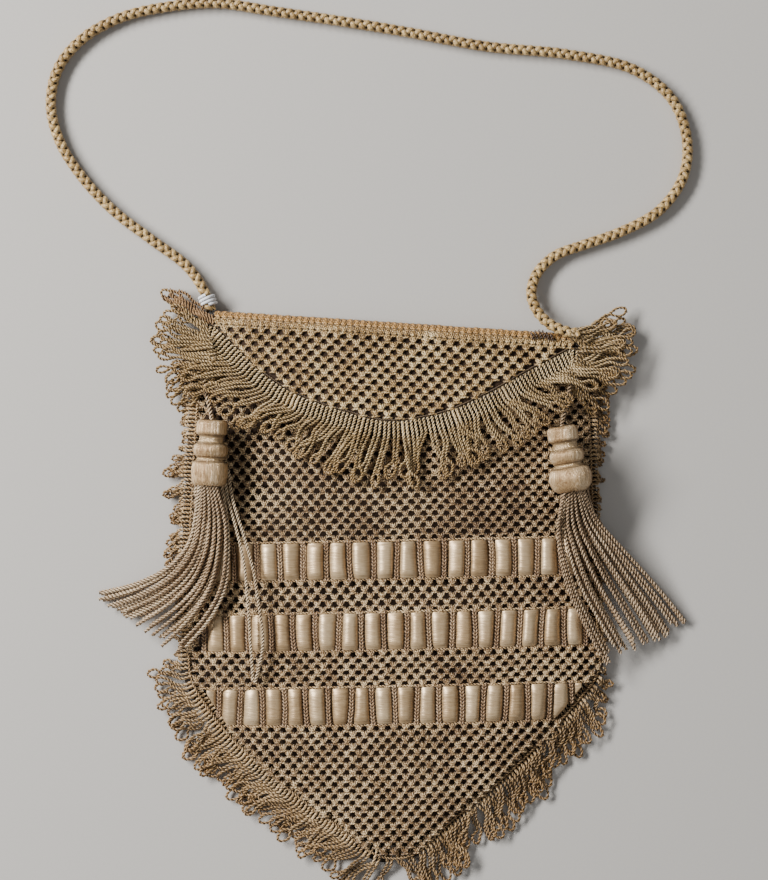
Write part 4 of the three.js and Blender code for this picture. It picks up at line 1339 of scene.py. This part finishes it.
def makeSideFringe(loops, name, node):
    side = loops["side"]
    line = []
    for row in outline:
        x = side * halfWidth(row[0], side)
        line.append(Vector((x, rowY(row[0], x), 0)))
    x = side * halfWidth(2 * bag["mouthDrop"] / bag["length"], side)
    line[0] = Vector((x, rowY(2 * bag["mouthDrop"] / bag["length"], x), 0))
    x = side * halfWidth(1.0, side) * 0.1
    line.append(Vector((x, rowY(1.0, x), 0)))
    inner = beside(smoothLine(line, 6), -side * loops["inside"])
    floorZ = fringe["cord"] / 2 + 0.3

    def heightAt(x, y, share):
        beyond = abs(x) - halfWidth(dropAt(x, y), x)
        out = smoothstep(beyond, -1.0, 1.2)
        top = lerp(fringe["headingInner"], fringe["headingOuter"], out)
        return lerp(top, floorZ, min(1, share * 1.6))

    heading = loops["inside"] + loops["outside"]
    fringeLoops(
        name + "_loops", inner, heading, loops, heightAt, -side, [node], fringe["sideStep"], sideSilk)
    outer = beside(smoothLine(line, 6), side * (loops["outside"] - 0.6))
    order = (outer, inner) if side < 0 else (inner, outer)

    def placeAt(row, column, z):
        place = order[column][row]
        return place.x, place.y, z

    lifts = (headingTape["sideLow"], headingTape["sideHigh"])
    tape = gridMesh(name + "_heading_tape", len(inner) - 1, 1, placeAt, lifts, gapShadeSilk)
    settle(tape, [node])


# dark tape under the heading ribs and for the flap's edge cord: painted shade for the gaps between the ribs
gapShadeSilk = silkMaterial(
    "heading tape", (0.05, 0.028, 0.012), (0.12, 0.072, 0.033), (0.2, 0.13, 0.06), roughness=0.7)
makeFlapFringe()
for corner in bunches:
    makeBunch(corner)
makeSideFringe(leftLoops, "left_side", "edge_fringe_left")
makeSideFringe(rightLoops, "right_side", "edge_fringe_right")


# Tassels
tassel = {
    "headLength": 28.8, "headRadius": 8.1, "headLift": 0.5, "aroundHead": 84, "alongHead": 56,
    "skirtLength": 76, "skirtLift": 2.2, "skirtReach": 36, "layers": 4, "perLayer": 8, "cord": 1.95,
    "twist": 0.0034, "step": 1.0, "strayCord": 1.7, "strayTwist": 0.003, "hangerCord": 2.3,
    "hangerTwist": 0.0036, "hangerRadius": 1.2, "hangerLength": 20, "hangerSeat": 3, "hangerOut": 5,
}
headTiers = [  # along, radius
    (0.00, 0.62), (0.03, 0.82), (0.22, 0.84), (0.25, 0.64),
    (0.35, 0.66), (0.38, 0.88), (0.46, 0.95), (0.55, 0.88),
    (0.58, 0.70), (0.62, 0.72), (0.66, 0.96), (0.80, 1.00), (0.96, 0.94), (1.00, 0.80),
]
headSteps = [0.0, 0.24, 0.365, 0.57, 0.64]
tassels = [
    {"name": "left", "side": -1, "out": 0.869, "drop": 0.164, "lean": -3, "dome": 0.0, "seed": 81,
     "strands": [
        (0.060, 0.000, -0.060, 0.00), (0.085, 0.160, -0.110, 0.20), (0.130, 0.330, -0.115, 0.41),
        (0.250, 0.475, -0.095, 0.61), (0.440, 0.585, -0.010, 0.80), (0.670, 0.655, 0.140, 1.00),
    ]},
    {"name": "right", "side": 1, "out": 0.798, "drop": 0.176, "lean": 10, "dome": 1.5, "seed": 82,
     "strands": [
        (0.060, 0.000, -0.060, 0.00), (0.150, 0.155, -0.095, 0.20), (0.290, 0.320, -0.080, 0.40),
        (0.430, 0.480, -0.030, 0.60), (0.560, 0.640, 0.060, 0.80), (0.675, 0.800, 0.160, 1.00),
    ]},
]


def headEnds(piece):
    lean = math.radians(piece["lean"])
    axis = Vector((math.sin(lean), -math.cos(lean), 0))
    x = piece["side"] * piece["out"] * bag["width"] / 2
    top = Vector((x, bag["mouthAbove"] - piece["drop"] * bag["length"], 0))
    bottom = top + axis * tassel["headLength"]
    middle = top.lerp(bottom, 0.7)
    z = frontTopAt(middle.x, middle.y) + bag["gap"] + tassel["headLift"] + tassel["headRadius"]
    return axis, Vector((top.x, top.y, z)), Vector((bottom.x, bottom.y, z))


def flossMaterial():
    material, graph = newMaterial("tassel floss")
    place = graph.place()
    cloud = graph.noise(place, 160.0, 3.0, 0.6)
    fibre = graph.noise(graph.stretched(place, (2600.0, 90.0, 2600.0)), 1.0, 3.0, 0.7)
    tone = graph.attribute("tone") * 0.45 + (cloud - 0.5) * 0.2 + (fibre - 0.5) * 1.8 + 0.26
    stops = [(0.1, (0.20, 0.105, 0.04)), (0.5, (0.52, 0.345, 0.175)), (0.9, (0.86, 0.69, 0.46))]
    floss = graph.ramp(tone, stops)
    bound = graph.attribute("bound")
    colour = graph.mix(bound, floss, (0.46, 0.32, 0.17, 1))
    # painted shade: dark lines where the tiers step in
    colour = graph.mix(graph.attribute("seam") * 0.8, colour, (0.07, 0.038, 0.016, 1))
    normal = graph.bump(fibre, 0.0005, 0.9)
    graph.finish(colour=colour, roughness=0.38 - bound * 0.14, normal=normal, metal=0.4)
    return material


floss = flossMaterial()


def makeHead(piece):
    axis, top, bottom = headEnds(piece)
    chance = random.Random(piece["seed"])
    up = Vector((0, 0, 1))
    across = axis.cross(up)
    around, along = tassel["aroundHead"], tassel["alongHead"]
    ridges = [chance.uniform(-1, 1) for _ in range(around)]
    streaks = [chance.uniform(0, 1) for _ in range(around)]
    wide = [0.5 + 0.5 * math.sin(2 * math.pi * (3 * index / around) + 1.3) for index in range(around)]
    points, tones, bounds, shadeLines, faces = [], [], [], [], []
    for ring in range(along + 1):
        share = ring / along
        bound = 1.0 if 0.245 < share < 0.36 or 0.575 < share < 0.63 else 0.0
        base = sum(between(headTiers, share + step, 1) for step in (-0.02, 0, 0.02)) / 3
        base *= tassel["headRadius"]
        base += piece["dome"] * max(0.0, math.sin(math.pi * clamp((share - 0.63) / 0.37))) ** 0.75
        # darkest on the tier steps, a painted shade line
        seam = 1 - smoothstep(min(abs(share - step) for step in headSteps), 0.004, 0.018)
        for index in range(around):
            angle = 2 * math.pi * index / around
            ridge = ridges[index] * (0.03 if bound else 0.16)
            uneven = 0.10 * math.sin(3 * angle + 9 * share + piece["seed"]) * (1 - bound)
            radius = base + ridge + uneven
            slip = 0.35 * streaks[index] * smoothstep(share, 0.9, 1.0)
            spot = top + axis * (share * tassel["headLength"] + slip)
            spot += (across * math.cos(angle) + up * math.sin(angle)) * radius
            points.append(spot * mm)
            tones.append(clamp(0.2 * streaks[index] + 0.7 * wide[index]))
            bounds.append(bound)
            shadeLines.append(seam)
    points += [top * mm, bottom * mm]
    tones += [0.4, 0.4]
    bounds += [0.0, 0.0]
    shadeLines += [0.0, 0.0]
    for ring in range(along):
        for index in range(around):
            ahead = (index + 1) % around
            row, next_ = ring * around, (ring + 1) * around
            faces.append((row + index, next_ + index, next_ + ahead, row + ahead))
    last = along * around
    for index in range(around):
        ahead = (index + 1) % around
        faces.append((len(points) - 2, index, ahead))
        faces.append((len(points) - 1, last + ahead, last + index))
    mesh = bpy.data.meshes.new("head")
    mesh.from_pydata(points, [], faces)
    facesOut(mesh)
    mesh.polygons.foreach_set("use_smooth", [True] * len(mesh.polygons))
    mesh.materials.append(floss)
    addAttribute(mesh, "tone", tones)
    addAttribute(mesh, "bound", bounds)
    addAttribute(mesh, "seam", shadeLines)
    settle(addPiece("tassel_floss_" + piece["name"], mesh), ["tassel_head_" + piece["name"]])
    route = []
    for share in (0, 0.25, 0.6, 1):
        x = top.x + piece["side"] * tassel["hangerOut"] * share
        y = top.y - tassel["hangerSeat"] + (tassel["hangerLength"] + tassel["hangerSeat"]) * share
        low = frontTopAt(x, y) + bag["gap"] + tassel["hangerRadius"]
        route.append(Vector((x, y, top.z - tassel["headRadius"] / 2 if share < 0.2 else low)))
    line = evenLine(smoothLine(route, 10), 0.7)
    name = "hanger_" + piece["name"]
    width, twist = tassel["hangerCord"], tassel["hangerTwist"]
    hanger = twistedCords(name, [line], skirtSilk, width, twist, tone=[0.5])
    settle(hanger, ["tassel_head_" + piece["name"]])


def facesOut(mesh):
    shape = bmesh.new()
    shape.from_mesh(mesh)
    bmesh.ops.recalc_face_normals(shape, faces=shape.faces)
    if shape.calc_volume(signed=True) < 0:
        bmesh.ops.reverse_faces(shape, faces=shape.faces)
    shape.to_mesh(mesh)
    shape.free()


def skirtUnder(x, y):
    beyond = abs(x) - halfWidth(dropAt(x, y), x)
    if beyond <= 0:
        return frontTopAt(x, y) + tassel["skirtLift"]
    edge = bag["frontEdge"] + bag["thick"] + tassel["skirtLift"]
    return max(0, edge * (1 - beyond / tassel["skirtReach"]))


def makeSkirt(piece):
    axis, top, bottom = headEnds(piece)
    chance = random.Random(piece["seed"] + 5)
    across = Vector((-axis.y, axis.x, 0))
    lines, tones = [], []
    half = tassel["cord"] / 2
    for layer in range(tassel["layers"]):
        for number in range(tassel["perLayer"]):
            share = (number + 0.5 + chance.uniform(-0.35, 0.35)) / tassel["perLayer"]
            share = clamp(share, 0.01, 0.98) ** 1.4
            reach = chance.uniform(0.93, 1.02)
            drift = chance.uniform(-0.02, 0.02)
            depth = layer / (tassel["layers"] - 1)
            rim = 0.74 * tassel["headRadius"] * math.sqrt(max(0.05, 1 - (2 * depth - 1) ** 2 * 0.6))
            sideways = across * (1 - 2 * share) * rim * piece["side"]
            high = (depth - 0.5) * 1.5 * tassel["headRadius"] * 0.8
            points = [bottom - axis * 1.5 + sideways + Vector((0, 0, high))]
            for step, (outerOut, outerDown, innerOut, innerDown) in enumerate(piece["strands"]):
                if step == 0:
                    continue
                out = (lerp(outerOut, innerOut, share) + drift * step / 5) * tassel["skirtLength"]
                down = lerp(outerDown, innerDown, share) * tassel["skirtLength"]
                down *= 1 + (reach - 1) * step / 5
                x = bottom.x + piece["side"] * out
                y = bottom.y - down - 1.5
                spread = lerp(1.35, 0.7, step / 5)
                settled = skirtUnder(x, y) + half + depth * (tassel["layers"] - 1) * spread
                points.append(Vector((x, y, settled)))
            lines.append(evenLine(smoothLine(points, 10), tassel["step"]))
            tones.append(chance.uniform(0.25, 0.8))
    name = "tassel_cords_" + piece["name"]
    cords = twistedCords(name, lines, skirtSilk, tassel["cord"], tassel["twist"], tone=tones)
    settle(cords, ["tassel_skirt_" + piece["name"]])


strays = [  # two cords of the left tassel that lie over the ribbons: x, y, height over the front
    [(-75, 41, 5.5), (-74, 30, 6.0), (-70, 15, 4.4), (-66.5, 0, 4.2), (-65, -14, 4.6), (-63.5, -36, 4.2),
     (-62.5, -53, 2.0)],
    [(-73.5, 41, 5.0), (-71.5, 28, 5.5), (-66, 10, 4.2), (-62, -5, 4.2), (-60, -18, 4.6), (-58, -36, 4.2),
     (-61.5, -53.5, 3.2)],
]


def makeStrays():
    lines = []
    for stray in strays:
        points = [Vector((x, y, frontTopAt(x, y) + lift)) for x, y, lift in stray]
        lines.append(evenLine(smoothLine(points, 10), 0.6))
    width, twist = tassel["strayCord"], tassel["strayTwist"]
    piece = twistedCords("tassel_strays", lines, skirtSilk, width, twist, tone=[1.0, 0.9])
    settle(piece, ["tassel_skirt_left"])


for tasselPiece in tassels:
    makeHead(tasselPiece)
    makeSkirt(tasselPiece)
makeStrays()
print("tassels made")


# Small trims: the brown tail at the fold's left corner and dark stitches at the handle's right end
tail = {"root": (-80.5, 107.5, 7.8), "end": (-101, 119, 4.6), "count": 9, "cord": 1.8, "twist": 0.003}
darkStitches = {
    "start": 61, "pitch": 1.7, "count": 6, "cord": 1.4, "twist": 0.0026, "above": 3.6, "lift": 2.2,
}


def makeTail(chance):
    lines, tones = [], []
    for _ in range(tail["count"]):
        x, y, z = tail["root"]
        start = Vector((x, y + chance.uniform(-2, 2), z + chance.uniform(-1, 1)))
        x, y, z = tail["end"]
        end = Vector((
            x + chance.uniform(-3, 5), y + chance.uniform(-2.5, 2.5), z + chance.uniform(-1.2, 1.5)))
        run = (end - start).normalized()
        across = Vector((-run.y, run.x, 0))
        points = [start]
        for share in (0.2, 0.4, 0.6, 0.8):
            curl = across * chance.uniform(-1.6, 1.6) + Vector((0, 0, chance.uniform(-0.9, 0.9)))
            points.append(start.lerp(end, share) + curl)
        lines.append(evenLine(smoothLine([*points, end], 8), 0.6))
        tones.append(chance.uniform(0.2, 0.8))
    piece = twistedCords("corner_tail", lines, tailSilk, tail["cord"], tail["twist"], tone=tones)
    settle(piece, ["flap_fringe"])


def makeDarkStitches(chance):
    lines = []
    for number in range(darkStitches["count"]):
        x = darkStitches["start"] + number * darkStitches["pitch"]
        y = mouthLine(x) + darkStitches["above"] + chance.uniform(-0.8, 0.8)
        z = frontTopAt(x, mouthLine(x) - 3.3) + darkStitches["lift"]
        line = [(x, y + 1.6, z - 1.2), (x + 0.4, y + 0.4, z + 0.3), (x + 0.9, y - 1.6, z)]
        lines.append(evenLine(smoothLine(line, 6), 0.6))
    width, twist = darkStitches["cord"], darkStitches["twist"]
    piece = twistedCords("corner_stitches", lines, stitchSilk, width, twist, tone=[0.5] * len(lines))
    settle(piece, ["flap"])


trimChance = random.Random(91)
makeTail(trimChance)
makeDarkStitches(trimChance)
print("trims made")
